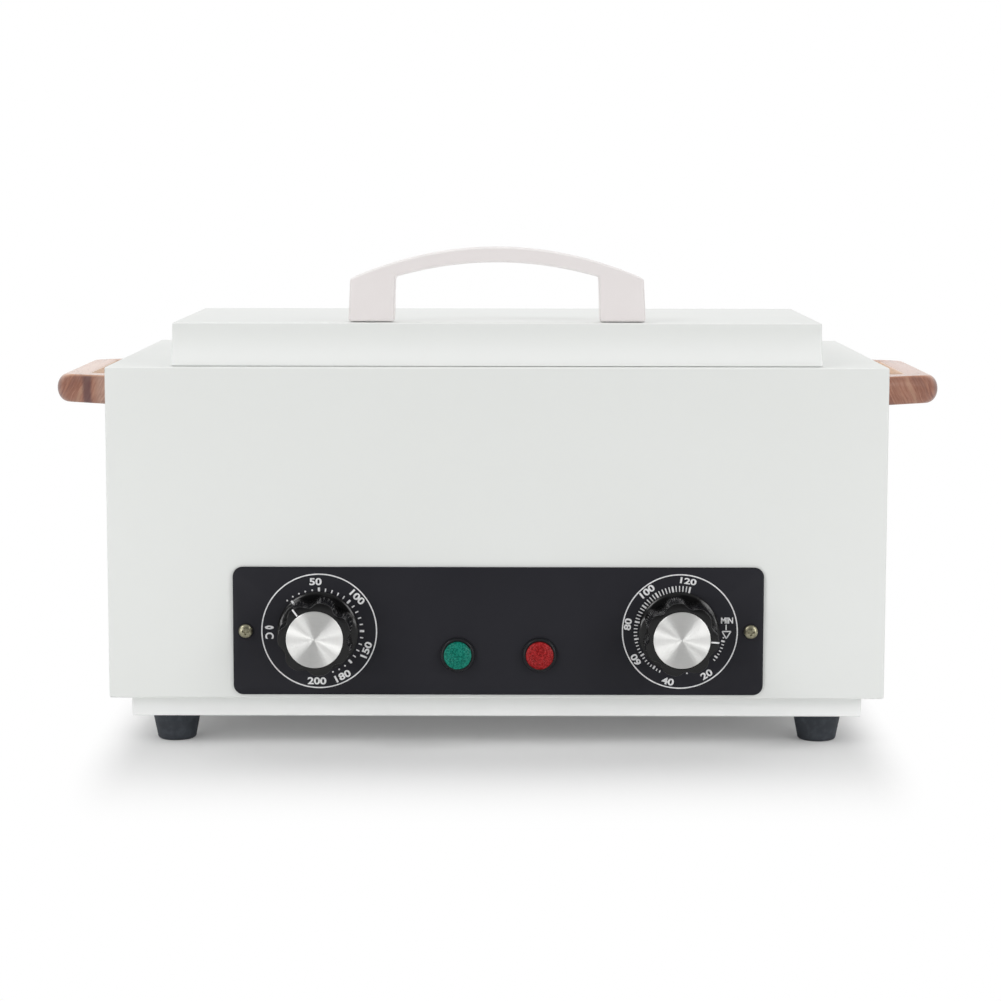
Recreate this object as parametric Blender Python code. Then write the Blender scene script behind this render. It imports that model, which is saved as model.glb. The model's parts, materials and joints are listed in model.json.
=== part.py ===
"""Benchtop dry heat sterilizer: a steel box with a stainless tank under a hinged lid.

Units are metres and +Z is up. The feet stand on Z = 0, X runs to the right as seen
from the front, and Y runs from the front to the back. The origin lies on the floor
under the middle of the whole object, from the knob faces to the mains inlet.
"""

import math

import bmesh
import bpy
from mathutils import Matrix, Vector

# Fits and sheet
FIT = 0.0003
SHEET = 0.0010
THIN_SHEET = 0.0008
FOLD_RADIUS = 0.0012
OVERRUN = 0.0020
SCREW_PLAY = 0.0003
WELD = 0.000002

# Body: the ledges that it leaves beside and behind the lid, and its front above the panel
SIDE_LEDGE = 0.0280
BACK_LEDGE = 0.0590
PLAIN_FRONT = 0.0846
BODY_FLANGE = 0.0200

# Plinth
PLINTH_RECESS = 0.0085
PLINTH_HEIGHT = 0.0090
PLINTH_FLANGE = 0.0100
BASE_SCREW_INSET = 0.0055
BASE_SCREW_SPACING = 0.0900
ACCESS_RADIUS = 0.0042
VENT_LENGTH = 0.0300
VENT_WIDTH = 0.0032
VENT_PITCH = 0.0090
VENT_SPREAD = 0.0650
VENTS_IN_A_ROW = 5

# Feet
FOOT_HEIGHT = 0.0130
FOOT_TOP_RADIUS = 0.0106
FOOT_BOTTOM_RADIUS = 0.0084
FOOT_EDGE = 0.0014
FOOT_INSET_X = 0.0254
FOOT_INSET_Y = 0.0280
FOOT_RECESS_RADIUS = 0.0052
FOOT_RECESS_DEPTH = 0.0065

# Screws: head radius, head height, shank radius
SMALL_HEAD_RADIUS = 0.0030
SMALL_HEAD_HEIGHT = 0.0017
SMALL_SHANK_RADIUS = 0.0015
LARGE_HEAD_RADIUS = 0.0040
LARGE_HEAD_HEIGHT = 0.0024
LARGE_SHANK_RADIUS = 0.0020
FOOT_SCREW_LENGTH = 0.0120
BASE_SCREW_LENGTH = 0.0060
PANEL_SCREW_LENGTH = 0.0080
LID_SCREW_LENGTH = 0.0120
SIDE_SCREW_LENGTH = 0.0150
DRIVE_WIDTH_SHARE = 0.30
DRIVE_LENGTH_SHARE = 1.20
DRIVE_DEPTH_SHARE = 0.55

# Control panel, with its dials set in from its ends and its lamps placed from its middle
PANEL_WIDTH = 0.2250
PANEL_HEIGHT = 0.0548
PANEL_CORNER = 0.0042
PANEL_THICKNESS = 0.0010
PANEL_OFFSET = 0.0007
PANEL_LIFT = 0.0019
THERMOSTAT_INSET = 0.0361
TIMER_INSET = 0.0359
PANEL_SCREW_INSET = 0.0054
GREEN_LAMP_SHIFT = -0.0172
RED_LAMP_SHIFT = 0.0176
LAMP_DROP = 0.0100

# Knobs
KNOB_CLEARANCE = 0.0007
FLANGE_RADIUS = 0.0172
FLANGE_HEIGHT = 0.0022
FLANGE_EDGE = 0.0005
LOBE_RADIUS = 0.0157
NOTCH_DEPTH = 0.0021
LOBE_COUNT = 7
POINTS_PER_LOBE = 8
GRIP_DRAFT = 0.0004
GRIP_EDGE = 0.0006
KNOB_LENGTH = 0.0214
CAP_RADIUS = 0.01185
CAP_THICKNESS = 0.0016
CAP_PROUD = 0.0011
CAP_EDGE = 0.0003
POINTER_WIDTH = 0.0009
POINTER_DEPTH = 0.0004
THERMOSTAT_REST = math.radians(-36.0)
TIMER_REST = math.radians(94.0)

# Shafts
SHAFT_RADIUS = 0.0030
SHAFT_FLAT = 0.0010
SHAFT_IN_KNOB = 0.0150
SHAFT_IN_BODY = 0.0110
BUSH_RADIUS = 0.0042

# Thermostat
THERMOSTAT_PLATE_WIDTH = 0.0440
THERMOSTAT_PLATE_HEIGHT = 0.0260
THERMOSTAT_WIDTH = 0.0320
THERMOSTAT_HEIGHT = 0.0380
THERMOSTAT_DEPTH = 0.0180
DIAPHRAGM_RADIUS = 0.0120
DIAPHRAGM_HEIGHT = 0.0040
DIAPHRAGM_EDGE = 0.0010
TAB_WIDTH = 0.0063
TAB_THICKNESS = 0.0008
TAB_LENGTH = 0.0080
TAB_SPREAD = 0.0090

# Timer
TIMER_PLATE = 0.0430
TIMER_CORNER = 0.0060
TIMER_DRUM_RADIUS = 0.0195
TIMER_DRUM_LENGTH = 0.0160
TIMER_BACK_RADIUS = 0.0145
TIMER_BACK_LENGTH = 0.0090

# Lamps
BEZEL_RADIUS = 0.0072
BEZEL_HEIGHT = 0.0018
BEZEL_EDGE = 0.0004
BARREL_RADIUS = 0.0060
BARREL_LENGTH = 0.0220
LENS_RADIUS = 0.00585
LENS_SEAT = 0.0012
LENS_RIM = 0.0011
LENS_CROWN = 0.0013
LENS_STEM_RADIUS = 0.0048
LENS_STEM_LENGTH = 0.0050
LAMP_TAB_SPREAD = 0.0030
LAMP_TAB_WIDTH = 0.0028

# Tank, measured inside
TANK_LENGTH = 0.2350
TANK_BREADTH = 0.1050
TANK_DEPTH = 0.0480
TANK_CORNER = 0.0120
TANK_FLOOR_RADIUS = 0.0060
TANK_RIM = 0.0080
TANK_PLAY = 0.0006

# Heater, its clamp and the cutout
HEATER_RADIUS = 0.0032
HEATER_PITCH = 0.0200
HEATER_END_GAP = 0.0325
HEATER_TAIL = 0.0100
CLAMP_END_GAP = 0.0150
CLAMP_SIDE_GAP = 0.0105
CLAMP_EDGE = 0.0030
CUTOUT_RADIUS = 0.0080
CUTOUT_HEIGHT = 0.0100
CUTOUT_CAP_RADIUS = 0.0062
CUTOUT_CAP_HEIGHT = 0.0050
CUTOUT_TAB_SPREAD = 0.0040
CUTOUT_TAB_WIDTH = 0.0040

# Insulation and heat shield
INSULATION = 0.0100
SHIELD_FLANGE = 0.0100
PASS_PLAY = 0.0006
CUTOUT_PLAY = 0.0015

# Temperature sensor
BULB_RADIUS = 0.0025
BULB_LENGTH = 0.0800
BULB_SET_IN = 0.0120
CAPILLARY_RADIUS = 0.0010
CAPILLARY_LOOP = 0.0140

# Mains inlet, measured from the body's middle and the plinth flange
INLET_X = 0.1000
INLET_LIFT = 0.0280
INLET_FLANGE_WIDTH = 0.0310
INLET_FLANGE_HEIGHT = 0.0250
INLET_FLANGE_THICKNESS = 0.0022
INLET_CORNER = 0.0030
INLET_BODY_WIDTH = 0.0270
INLET_BODY_HEIGHT = 0.0195
INLET_BODY_DEPTH = 0.0190
SOCKET_WIDTH = 0.0240
SOCKET_HEIGHT = 0.0160
SOCKET_BEVEL = 0.0040
SOCKET_DEPTH = 0.0155
PIN_WIDTH = 0.0020
PIN_HEIGHT = 0.0040
PIN_SPREAD = 0.0070
PIN_RISE = 0.0020
PIN_SHY = 0.0020
PIN_TAIL = 0.0080

# Terminal block and wiring
BLOCK_X = 0.0300
BLOCK_SET_BACK = 0.0420
BLOCK_WIDTH = 0.0440
BLOCK_DEPTH = 0.0180
BLOCK_HEIGHT = 0.0160
BLOCK_HOLE_RADIUS = 0.0026
BLOCK_HOLE_DEPTH = 0.0070
BLOCK_PITCH = 0.0130
BLOCK_EDGE = 0.0010
LOOM_RADIUS = 0.0028
LEAD_RADIUS = 0.0016
LOOM_LIFT = 0.0085
LOOM_SET_BACK = 0.0580
LEAD_BEND = 0.0120
LOOM_GAP = 0.0083

# Hinges
HINGE_INSET = 0.0470
HINGE_LENGTH = 0.0300
HINGE_SET_BACK = 0.0030
KNUCKLE_RADIUS = 0.0024
HINGE_PIN_RADIUS = 0.0010
LEAF_THICKNESS = 0.0009
LEAF_WIDTH = 0.0120
LEAF_HOLE_RADIUS = 0.0014
LEAF_HOLE_SPREAD = 0.0100
MIDDLE_KNUCKLE = 0.0110

# Lid, with how far it reaches past the tank's rim
LID_END_COVER = 0.0107
LID_FACE_COVER = 0.0012
LID_HEIGHT = 0.0179
LID_SET_BACK = 0.0060
LID_GAP = 0.0005
LINER_TURN_UP = 0.0080
LINER_CLEARANCE = 0.0005
SCREW_POCKET = 0.0060

# Lid handle
ARCH_LENGTH = 0.1256
ARCH_LEG = 0.0194
ARCH_DRAFT = 0.0009
ARCH_SHOULDER = 0.0184
ARCH_INNER_SHOULDER = 0.0191
ARCH_PEAK = 0.0317
ARCH_INNER_PEAK = 0.0253
ARCH_THICKNESS = 0.0130
ARCH_SET_BACK = 0.0020
ARCH_EDGE = 0.0011
ARCH_SCREW_INSET = 0.0098
ARCH_STEPS = 14

# Side handles
SIDE_HEIGHT = 0.0123
SIDE_REACH = 0.0286
SIDE_FOOT_LENGTH = 0.1240
SIDE_GRIP_LENGTH = 0.1060
SIDE_GRIP = 0.0145
SIDE_LEG = 0.0190
SIDE_CORNER = 0.0100
SIDE_INNER_CORNER = 0.0050
SIDE_BULGE = 0.0036
SIDE_EASE = 0.0008
SIDE_DROP = 0.0066
SIDE_MIDDLE = 0.0980
SIDE_SCREW_INSET = 0.0140
SIDE_LEVELS = 6

# Smoothness, as counts, and the share of a stretch that a bend may take
ROUND = 20
ROUND_SMALL = 12
CORNER_STEPS = 4
BEND_STEPS = 4
BEND_SHARE = 0.45

# Heights above the floor
PLINTH_BOTTOM = FOOT_HEIGHT + FIT
PLINTH_FLOOR = PLINTH_BOTTOM + SHEET
PLINTH_TOP = PLINTH_BOTTOM + PLINTH_HEIGHT
BODY_BOTTOM = PLINTH_TOP + FIT
DIAL_Z = BODY_BOTTOM + PANEL_LIFT + PANEL_HEIGHT / 2
LAMP_Z = DIAL_Z - LAMP_DROP
BODY_TOP = DIAL_Z + PANEL_HEIGHT / 2 + PLAIN_FRONT
BODY_CEILING = BODY_TOP - SHEET
RIM_BOTTOM = BODY_TOP + FIT
RIM_TOP = RIM_BOTTOM + THIN_SHEET
TANK_FLOOR_TOP = RIM_TOP - TANK_DEPTH
TANK_UNDERSIDE = TANK_FLOOR_TOP - THIN_SHEET
HEATER_Z = TANK_UNDERSIDE - FIT - HEATER_RADIUS
CLAMP_TOP = HEATER_Z - HEATER_RADIUS - FIT
CLAMP_BOTTOM = CLAMP_TOP - THIN_SHEET
JACKET_FLOOR_TOP = CLAMP_BOTTOM - FIT
JACKET_BOTTOM = JACKET_FLOOR_TOP - INSULATION
SHIELD_BOTTOM = JACKET_BOTTOM - FIT - THIN_SHEET
LID_BOTTOM = BODY_TOP + LID_GAP
LID_TOP = LID_BOTTOM + LID_HEIGHT
LID_CEILING = LID_TOP - SHEET
LINER_BOTTOM = RIM_TOP + LINER_CLEARANCE
SIDE_Z = BODY_TOP - SIDE_DROP - SIDE_HEIGHT / 2
INLET_Z = BODY_BOTTOM + INLET_LIFT
HINGE_Z = BODY_TOP + FIT + KNUCKLE_RADIUS

# Sizes that follow the tank
RIM_BEYOND = THIN_SHEET + TANK_RIM
LID_WIDTH = TANK_LENGTH + 2 * (RIM_BEYOND + LID_END_COVER)
LID_DEPTH = TANK_BREADTH + 2 * (RIM_BEYOND + LID_FACE_COVER)
BODY_WIDTH = LID_WIDTH + 2 * SIDE_LEDGE
BODY_DEPTH = LID_SET_BACK + LID_DEPTH + BACK_LEDGE

# Depths, from the front face of the body to its back face
PANEL_FACE = FIT + PANEL_THICKNESS
KNOB_FACE = PANEL_FACE + KNOB_CLEARANCE + KNOB_LENGTH
KNOB_REACH = KNOB_FACE + CAP_PROUD
INLET_REACH = FIT + INLET_FLANGE_THICKNESS
FRONT_Y = KNOB_REACH - (KNOB_REACH + BODY_DEPTH + INLET_REACH) / 2
BACK_Y = FRONT_Y + BODY_DEPTH
INNER_FRONT_Y = FRONT_Y + SHEET
LID_FRONT_Y = FRONT_Y + LID_SET_BACK
LID_BACK_Y = LID_FRONT_Y + LID_DEPTH
TANK_Y = (LID_FRONT_Y + LID_BACK_Y) / 2
HINGE_Y = LID_BACK_Y + HINGE_SET_BACK
SIDE_Y = FRONT_Y + SIDE_MIDDLE

# Sideways places
BODY_SIDE = BODY_WIDTH / 2
THERMOSTAT_X = PANEL_OFFSET - PANEL_WIDTH / 2 + THERMOSTAT_INSET
TIMER_X = PANEL_OFFSET + PANEL_WIDTH / 2 - TIMER_INSET
TANK_HALF_X = TANK_LENGTH / 2 + THIN_SHEET
TANK_HALF_Y = TANK_BREADTH / 2 + THIN_SHEET
JACKET_IN_X = TANK_HALF_X + FIT
JACKET_IN_Y = TANK_HALF_Y + FIT
JACKET_OUT_X = JACKET_IN_X + INSULATION
JACKET_OUT_Y = JACKET_IN_Y + INSULATION
SHIELD_OUT_X = JACKET_OUT_X + FIT + THIN_SHEET
SHIELD_OUT_Y = JACKET_OUT_Y + FIT + THIN_SHEET
LOOM_SIDE = SHIELD_OUT_X + HEATER_TAIL + LOOM_GAP
ARCH_Y = LID_FRONT_Y + ARCH_SET_BACK + ARCH_THICKNESS / 2
ARCH_SCREW_X = ARCH_LENGTH / 2 - ARCH_SCREW_INSET
FOOT_X = BODY_SIDE - FOOT_INSET_X
PLINTH_SIDE = BODY_SIDE - PLINTH_RECESS
BASE_SCREW_X = PLINTH_SIDE - BASE_SCREW_INSET


def clear_scene():
    """Start from an empty scene."""
    for item in list(bpy.data.objects):
        bpy.data.objects.remove(item, do_unlink=True)


# Building blocks


def as_object(name, mesh_maker):
    """Link a new object whose mesh comes from a bmesh with outward faces."""
    bmesh.ops.recalc_face_normals(mesh_maker, faces=mesh_maker.faces)
    mesh = bpy.data.meshes.new(name)
    mesh_maker.to_mesh(mesh)
    mesh_maker.free()
    item = bpy.data.objects.new(name, mesh)
    bpy.context.scene.collection.objects.link(item)
    return item


def on_axis(axis, across, up, along):
    """Place a point of a flat outline on a plane square to the axis."""
    if axis == "X":
        return Vector((along, across, up))
    if axis == "Y":
        return Vector((across, along, up))
    return Vector((across, up, along))


def loft(name, rings, ring_shaped=False):
    """Skin a row of rings that have the same number of points."""
    maker = bmesh.new()
    rows = [[maker.verts.new(point) for point in ring] for ring in rings]
    count = len(rows[0])
    pairs = list(zip(rows, rows[1:]))
    if ring_shaped:
        pairs.append((rows[-1], rows[0]))
    else:
        maker.faces.new(rows[0])
        maker.faces.new(rows[-1])
    for lower, upper in pairs:
        for index in range(count):
            following = (index + 1) % count
            maker.faces.new((lower[index], lower[following], upper[following], upper[index]))
    return as_object(name, maker)


def prism(name, outline, axis, start, end):
    """Extrude a flat outline along an axis."""
    rings = [[on_axis(axis, u, v, along) for u, v in outline] for along in (start, end)]
    return loft(name, rings)


def box(name, low, high):
    """A block between two corners."""
    outline = ((low[0], low[1]), (high[0], low[1]), (high[0], high[1]), (low[0], high[1]))
    return prism(name, outline, "Z", low[2], high[2])


def circle(radius, steps, middle=(0, 0)):
    """Points of a circle in a plane."""
    turn = 2 * math.pi / steps
    return [
        (middle[0] + radius * math.cos(turn * index), middle[1] + radius * math.sin(turn * index))
        for index in range(steps)
    ]


def rod(name, axis, middle, radius, start, end, steps=ROUND_SMALL):
    """A straight round bar."""
    return prism(name, circle(radius, steps, middle), axis, start, end)


def turned(name, profile, axis, middle, steps=ROUND, ring_shaped=False):
    """A turned body from rows of radius and distance along the axis."""
    rings = []
    for radius, along in profile:
        rings.append([on_axis(axis, u, v, along) for u, v in circle(radius, steps, middle)])
    return loft(name, rings, ring_shaped)


def arc(middle, radius, start, end, steps):
    """Points of an arc in a plane, both ends included."""
    points = []
    for index in range(steps + 1):
        angle = start + (end - start) * index / steps
        points.append((middle[0] + radius * math.cos(angle), middle[1] + radius * math.sin(angle)))
    return points


def rounded(half_u, half_v, radius, middle=(0, 0), steps=CORNER_STEPS):
    """Outline of a rectangle with round corners."""
    outline = []
    for quarter, (sign_u, sign_v) in enumerate(((1, 1), (-1, 1), (-1, -1), (1, -1))):
        centre = (
            middle[0] + sign_u * (half_u - radius),
            middle[1] + sign_v * (half_v - radius),
        )
        start = quarter * math.pi / 2
        outline += arc(centre, radius, start, start + math.pi / 2, steps)
    return outline


def rectangle(half_u, half_v, middle=(0, 0)):
    """Outline of a plain rectangle."""
    corners = ((-1, -1), (1, -1), (1, 1), (-1, 1))
    return [(middle[0] + u * half_u, middle[1] + v * half_v) for u, v in corners]


def bake(item):
    """Replace an object's mesh by the one that its modifiers make."""
    view = bpy.context.evaluated_depsgraph_get()
    view.update()
    mesh = bpy.data.meshes.new_from_object(item.evaluated_get(view))
    item.modifiers.clear()
    item.data = mesh


def combine(item, tools, operation):
    """Cut tools from an object, or fuse them to it, and drop the tools."""
    for tool in tools:
        change = item.modifiers.new(operation, "BOOLEAN")
        change.object = tool
        change.operation = operation
        change.solver = "EXACT"
        bake(item)
        bpy.data.objects.remove(tool, do_unlink=True)
    return item


def cut(item, *tools):
    """Cut tools from an object."""
    return combine(item, tools, "DIFFERENCE")


def fuse(item, *tools):
    """Join tools to an object."""
    return combine(item, tools, "UNION")


def soften(item, width, segments=2):
    """Round the sharp edges of an object."""
    change = item.modifiers.new("Edge", "BEVEL")
    change.width = width
    change.segments = segments
    change.limit_method = "ANGLE"
    bake(item)
    return item


def smooth_route(points, bend):
    """Round the corners of a route and keep its stretches straight."""
    route = [points[0]]
    for before, corner, after in zip(points, points[1:], points[2:]):
        shorter = min((corner - before).length, (after - corner).length)
        reach = min(bend, shorter * BEND_SHARE)
        first = corner + (before - corner).normalized() * reach
        last = corner + (after - corner).normalized() * reach
        for index in range(BEND_STEPS + 1):
            part = index / BEND_STEPS
            route.append(first.lerp(corner, part).lerp(corner.lerp(last, part), part))
    route.append(points[-1])
    return route


def tube(name, points, radii):
    """A closed tube along points, each with its own radius."""
    curve = bpy.data.curves.new(name, "CURVE")
    curve.dimensions = "3D"
    curve.bevel_depth = max(radii)
    curve.bevel_resolution = 1
    curve.use_fill_caps = True
    spline = curve.splines.new("POLY")
    spline.points.add(len(points) - 1)
    for slot, point, radius in zip(spline.points, points, radii):
        slot.co = (*point, 1)
        slot.radius = radius / max(radii)
    item = bpy.data.objects.new(name, curve)
    bpy.context.scene.collection.objects.link(item)
    view = bpy.context.evaluated_depsgraph_get()
    view.update()
    mesh = bpy.data.meshes.new_from_object(item.evaluated_get(view))
    bpy.data.objects.remove(item, do_unlink=True)
    maker = bmesh.new()
    maker.from_mesh(mesh)
    bmesh.ops.remove_doubles(maker, verts=maker.verts, dist=WELD)
    return as_object(name, maker)


def finish(item, material, smooth_angle=None):
    """Give an object its material and its shading."""
    item.data.materials.clear()
    item.data.materials.append(material)
    if smooth_angle:
        item.data.shade_smooth()
        item.data.set_sharp_from_angle(angle=smooth_angle)
    return item


def move_origin(item, point):
    """Put an object's origin at a point without moving its mesh."""
    item.data.transform(Matrix.Translation(-Vector(point)))
    item.location = point


def axis_marker(name, point):
    """An empty that marks a joint's axis."""
    marker = bpy.data.objects.new(name, None)
    marker.location = point
    bpy.context.scene.collection.objects.link(marker)
    return marker


def hang_on(marker, items):
    """Parent pieces to an axis marker, with their origins on the axis."""
    for item in items:
        if item.location.length == 0:
            move_origin(item, marker.location)
        item.parent = marker
        item.matrix_parent_inverse = Matrix.Translation(-marker.location)


def copy_of(item, name, location, rotation=(0, 0, 0)):
    """Another object that shares a mesh."""
    twin = bpy.data.objects.new(name, item.data)
    twin.location = location
    twin.rotation_euler = rotation
    bpy.context.scene.collection.objects.link(twin)
    return twin


# Finishes

ROUND_SHADING = math.radians(35)


def make_material(name, colour, roughness, metallic=0.0):
    """A plain finish."""
    material = bpy.data.materials.new(name)
    material.use_nodes = True
    shader = material.node_tree.nodes["Principled BSDF"]
    shader.inputs["Base Color"].default_value = (*colour, 1)
    shader.inputs["Roughness"].default_value = roughness
    shader.inputs["Metallic"].default_value = metallic
    material.diffuse_color = (*colour, 1)
    return material


def make_finishes():
    """All the finishes of the object, by name."""
    return {
        "powder_coat": make_material("powder_coat", (0.76, 0.78, 0.76), 0.45),
        "panel_black": make_material("panel_black", (0.03, 0.03, 0.035), 0.40),
        "knob_black": make_material("knob_black", (0.012, 0.012, 0.013), 0.20),
        "spun_aluminium": make_material("spun_aluminium", (0.80, 0.80, 0.80), 0.25, 1.0),
        "foot_rubber": make_material("foot_rubber", (0.045, 0.055, 0.065), 0.70),
        "walnut": make_material("walnut", (0.30, 0.16, 0.10), 0.45),
        "handle_white": make_material("handle_white", (0.75, 0.71, 0.70), 0.35),
        "lens_green": make_material("lens_green", (0.01, 0.25, 0.13), 0.15),
        "lens_red": make_material("lens_red", (0.45, 0.02, 0.02), 0.15),
        "screw_nickel": make_material("screw_nickel", (0.65, 0.60, 0.48), 0.30, 1.0),
        "stainless": make_material("stainless", (0.60, 0.60, 0.58), 0.30, 1.0),
        "heater_sheath": make_material("heater_sheath", (0.20, 0.20, 0.19), 0.50, 1.0),
        "copper": make_material("copper", (0.70, 0.35, 0.22), 0.35, 1.0),
        "brass": make_material("brass", (0.75, 0.58, 0.28), 0.30, 1.0),
        "zinc_steel": make_material("zinc_steel", (0.55, 0.56, 0.58), 0.40, 1.0),
        "fibre_wool": make_material("fibre_wool", (0.78, 0.75, 0.68), 0.95),
        "ceramic_white": make_material("ceramic_white", (0.80, 0.78, 0.73), 0.35),
        "plastic_black": make_material("plastic_black", (0.02, 0.02, 0.02), 0.45),
        "wire_sleeve": make_material("wire_sleeve", (0.55, 0.53, 0.48), 0.80),
    }


# Fasteners


def screw_mesh(name, head_radius, head_height, shank_radius, length, steps=ROUND_SMALL, crossed=True):
    """A pan-head screw, its head below Z = 0 and its shank above."""
    crown = head_height / 3
    profile = (
        (head_radius - crown, -head_height),
        (head_radius, -head_height + crown),
        (head_radius, 0),
        (shank_radius, 0),
        (shank_radius, length - shank_radius / 2),
        (shank_radius / 2, length),
    )
    screw = turned(name, profile, "Z", (0, 0), steps)
    if not crossed:
        return screw
    half_width = head_radius * DRIVE_WIDTH_SHARE / 2
    half_length = head_radius * DRIVE_LENGTH_SHARE / 2
    reach = head_height * DRIVE_DEPTH_SHARE
    start = -head_height - OVERRUN
    end = reach - head_height
    first = prism("drive", rectangle(half_width, half_length), "Z", start, end)
    second = prism("drive", rectangle(half_length, half_width), "Z", start, end)
    return cut(screw, fuse(first, second))


def place_screws(prefix, mesh_item, places, rotation, material):
    """Copies of one screw at named places."""
    finish(mesh_item, material, ROUND_SHADING)
    screws = [copy_of(mesh_item, prefix + name, place, rotation) for name, place in places]
    bpy.data.objects.remove(mesh_item, do_unlink=True)
    return screws


# Body and plinth


def lamp_places():
    """Names and sideways places of the two lamps."""
    return (("green", PANEL_OFFSET + GREEN_LAMP_SHIFT), ("red", PANEL_OFFSET + RED_LAMP_SHIFT))


def corner_places(x, front, back, z):
    """The four corners of a rectangle in plan, with their names."""
    return (
        ("front_left", (-x, front, z)),
        ("front_right", (x, front, z)),
        ("back_left", (-x, back, z)),
        ("back_right", (x, back, z)),
    )


def side_screw_places(x, z):
    """Places of the side-handle screws."""
    half = SIDE_FOOT_LENGTH / 2 - SIDE_SCREW_INSET
    return corner_places(x, SIDE_Y - half, SIDE_Y + half, z)


def base_screw_places(z):
    """Places of the screws that hold the plinth to the body."""
    middle = (FRONT_Y + BACK_Y) / 2
    half = BASE_SCREW_SPACING / 2
    return corner_places(BASE_SCREW_X, middle - half, middle + half, z)


def foot_places(z):
    """Places of the feet."""
    return corner_places(FOOT_X, FRONT_Y + FOOT_INSET_Y, BACK_Y - FOOT_INSET_Y, z)


def panel_screw_places(y):
    """Places of the two screws of the control panel."""
    half = PANEL_WIDTH / 2 - PANEL_SCREW_INSET
    return (
        ("left", (PANEL_OFFSET - half, y, DIAL_Z)),
        ("right", (PANEL_OFFSET + half, y, DIAL_Z)),
    )


def front_holes(start, end):
    """Cutters for the shafts, lamps and screws of the front."""
    holes = []
    for x in (THERMOSTAT_X, TIMER_X):
        holes.append(rod("hole", "Y", (x, DIAL_Z), BUSH_RADIUS + FIT, start, end, ROUND))
    for _, x in lamp_places():
        holes.append(rod("hole", "Y", (x, LAMP_Z), BARREL_RADIUS + FIT, start, end, ROUND))
    for _, place in panel_screw_places(0):
        radius = SMALL_SHANK_RADIUS + SCREW_PLAY
        holes.append(rod("hole", "Y", (place[0], place[2]), radius, start, end))
    return holes


def make_body_shell(finishes):
    """The folded steel body, open below inside a turned-in flange."""
    shell = box("body_shell", (-BODY_SIDE, FRONT_Y, BODY_BOTTOM), (BODY_SIDE, BACK_Y, BODY_TOP))
    soften(shell, FOLD_RADIUS)
    inner = BODY_SIDE - SHEET
    hollow = box(
        "hollow",
        (-inner, INNER_FRONT_Y, BODY_BOTTOM + SHEET),
        (inner, BACK_Y - SHEET, BODY_CEILING),
    )
    mouth = box(
        "mouth",
        (BODY_FLANGE - BODY_SIDE, FRONT_Y + BODY_FLANGE, BODY_BOTTOM - OVERRUN),
        (BODY_SIDE - BODY_FLANGE, BACK_Y - BODY_FLANGE, BODY_BOTTOM + OVERRUN),
    )
    cut(shell, hollow, mouth)
    outline = rounded(TANK_HALF_X + TANK_PLAY, TANK_HALF_Y + TANK_PLAY, TANK_CORNER, (0, TANK_Y))
    cut(shell, prism("tank_hole", outline, "Z", BODY_CEILING - OVERRUN, BODY_TOP + OVERRUN))
    cut(shell, *front_holes(FRONT_Y - OVERRUN, INNER_FRONT_Y + OVERRUN))
    half_x = INLET_BODY_WIDTH / 2 + FIT
    half_z = INLET_BODY_HEIGHT / 2 + FIT
    slot = rectangle(half_x, half_z, (INLET_X, INLET_Z))
    cut(shell, prism("inlet_hole", slot, "Y", BACK_Y - SHEET - OVERRUN, BACK_Y + OVERRUN))
    side_radius = LARGE_SHANK_RADIUS + SCREW_PLAY
    for _, (x, y, z) in side_screw_places(BODY_SIDE, SIDE_Z):
        hole = rod("hole", "X", (y, z), side_radius, x - OVERRUN, x + OVERRUN)
        cut(shell, hole)
    for _, (x, y, z) in base_screw_places(BODY_BOTTOM):
        radius = SMALL_SHANK_RADIUS + SCREW_PLAY
        cut(shell, rod("hole", "Z", (x, y), radius, z - OVERRUN, z + OVERRUN))
    return finish(shell, finishes["powder_coat"])


def make_base_plate(finishes):
    """The plinth pan under the body, with its turned-in flange and vents."""
    front = FRONT_Y + PLINTH_RECESS
    back = BACK_Y - PLINTH_RECESS
    pan = box("base_plate", (-PLINTH_SIDE, front, PLINTH_BOTTOM), (PLINTH_SIDE, back, PLINTH_TOP))
    soften(pan, FOLD_RADIUS)
    inner = PLINTH_SIDE - SHEET
    hollow = box(
        "hollow",
        (-inner, front + SHEET, PLINTH_FLOOR),
        (inner, back - SHEET, PLINTH_TOP - SHEET),
    )
    lip = SHEET + PLINTH_FLANGE
    mouth = box(
        "mouth",
        (lip - PLINTH_SIDE, front + lip, PLINTH_FLOOR + OVERRUN),
        (PLINTH_SIDE - lip, back - lip, PLINTH_TOP + OVERRUN),
    )
    cut(pan, hollow, mouth)
    for _, (x, y, z) in foot_places(PLINTH_BOTTOM):
        radius = LARGE_SHANK_RADIUS + SCREW_PLAY
        cut(pan, rod("hole", "Z", (x, y), radius, z - OVERRUN, z + OVERRUN))
    below = PLINTH_BOTTOM - OVERRUN
    above = PLINTH_FLOOR + OVERRUN
    for _, (x, y, z) in base_screw_places(PLINTH_TOP):
        radius = SMALL_SHANK_RADIUS + SCREW_PLAY
        cut(pan, rod("hole", "Z", (x, y), radius, z - OVERRUN, z + OVERRUN))
        cut(pan, rod("access", "Z", (x, y), ACCESS_RADIUS, below, above))
    for side in (-1, 1):
        for index in range(VENTS_IN_A_ROW):
            y = (front + back) / 2 + (index - (VENTS_IN_A_ROW - 1) / 2) * VENT_PITCH
            half = VENT_WIDTH / 2
            outline = rounded(VENT_LENGTH / 2, half, half, (side * VENT_SPREAD, y), 2)
            cut(pan, prism("vent", outline, "Z", below, above))
    return finish(pan, finishes["powder_coat"])


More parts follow.
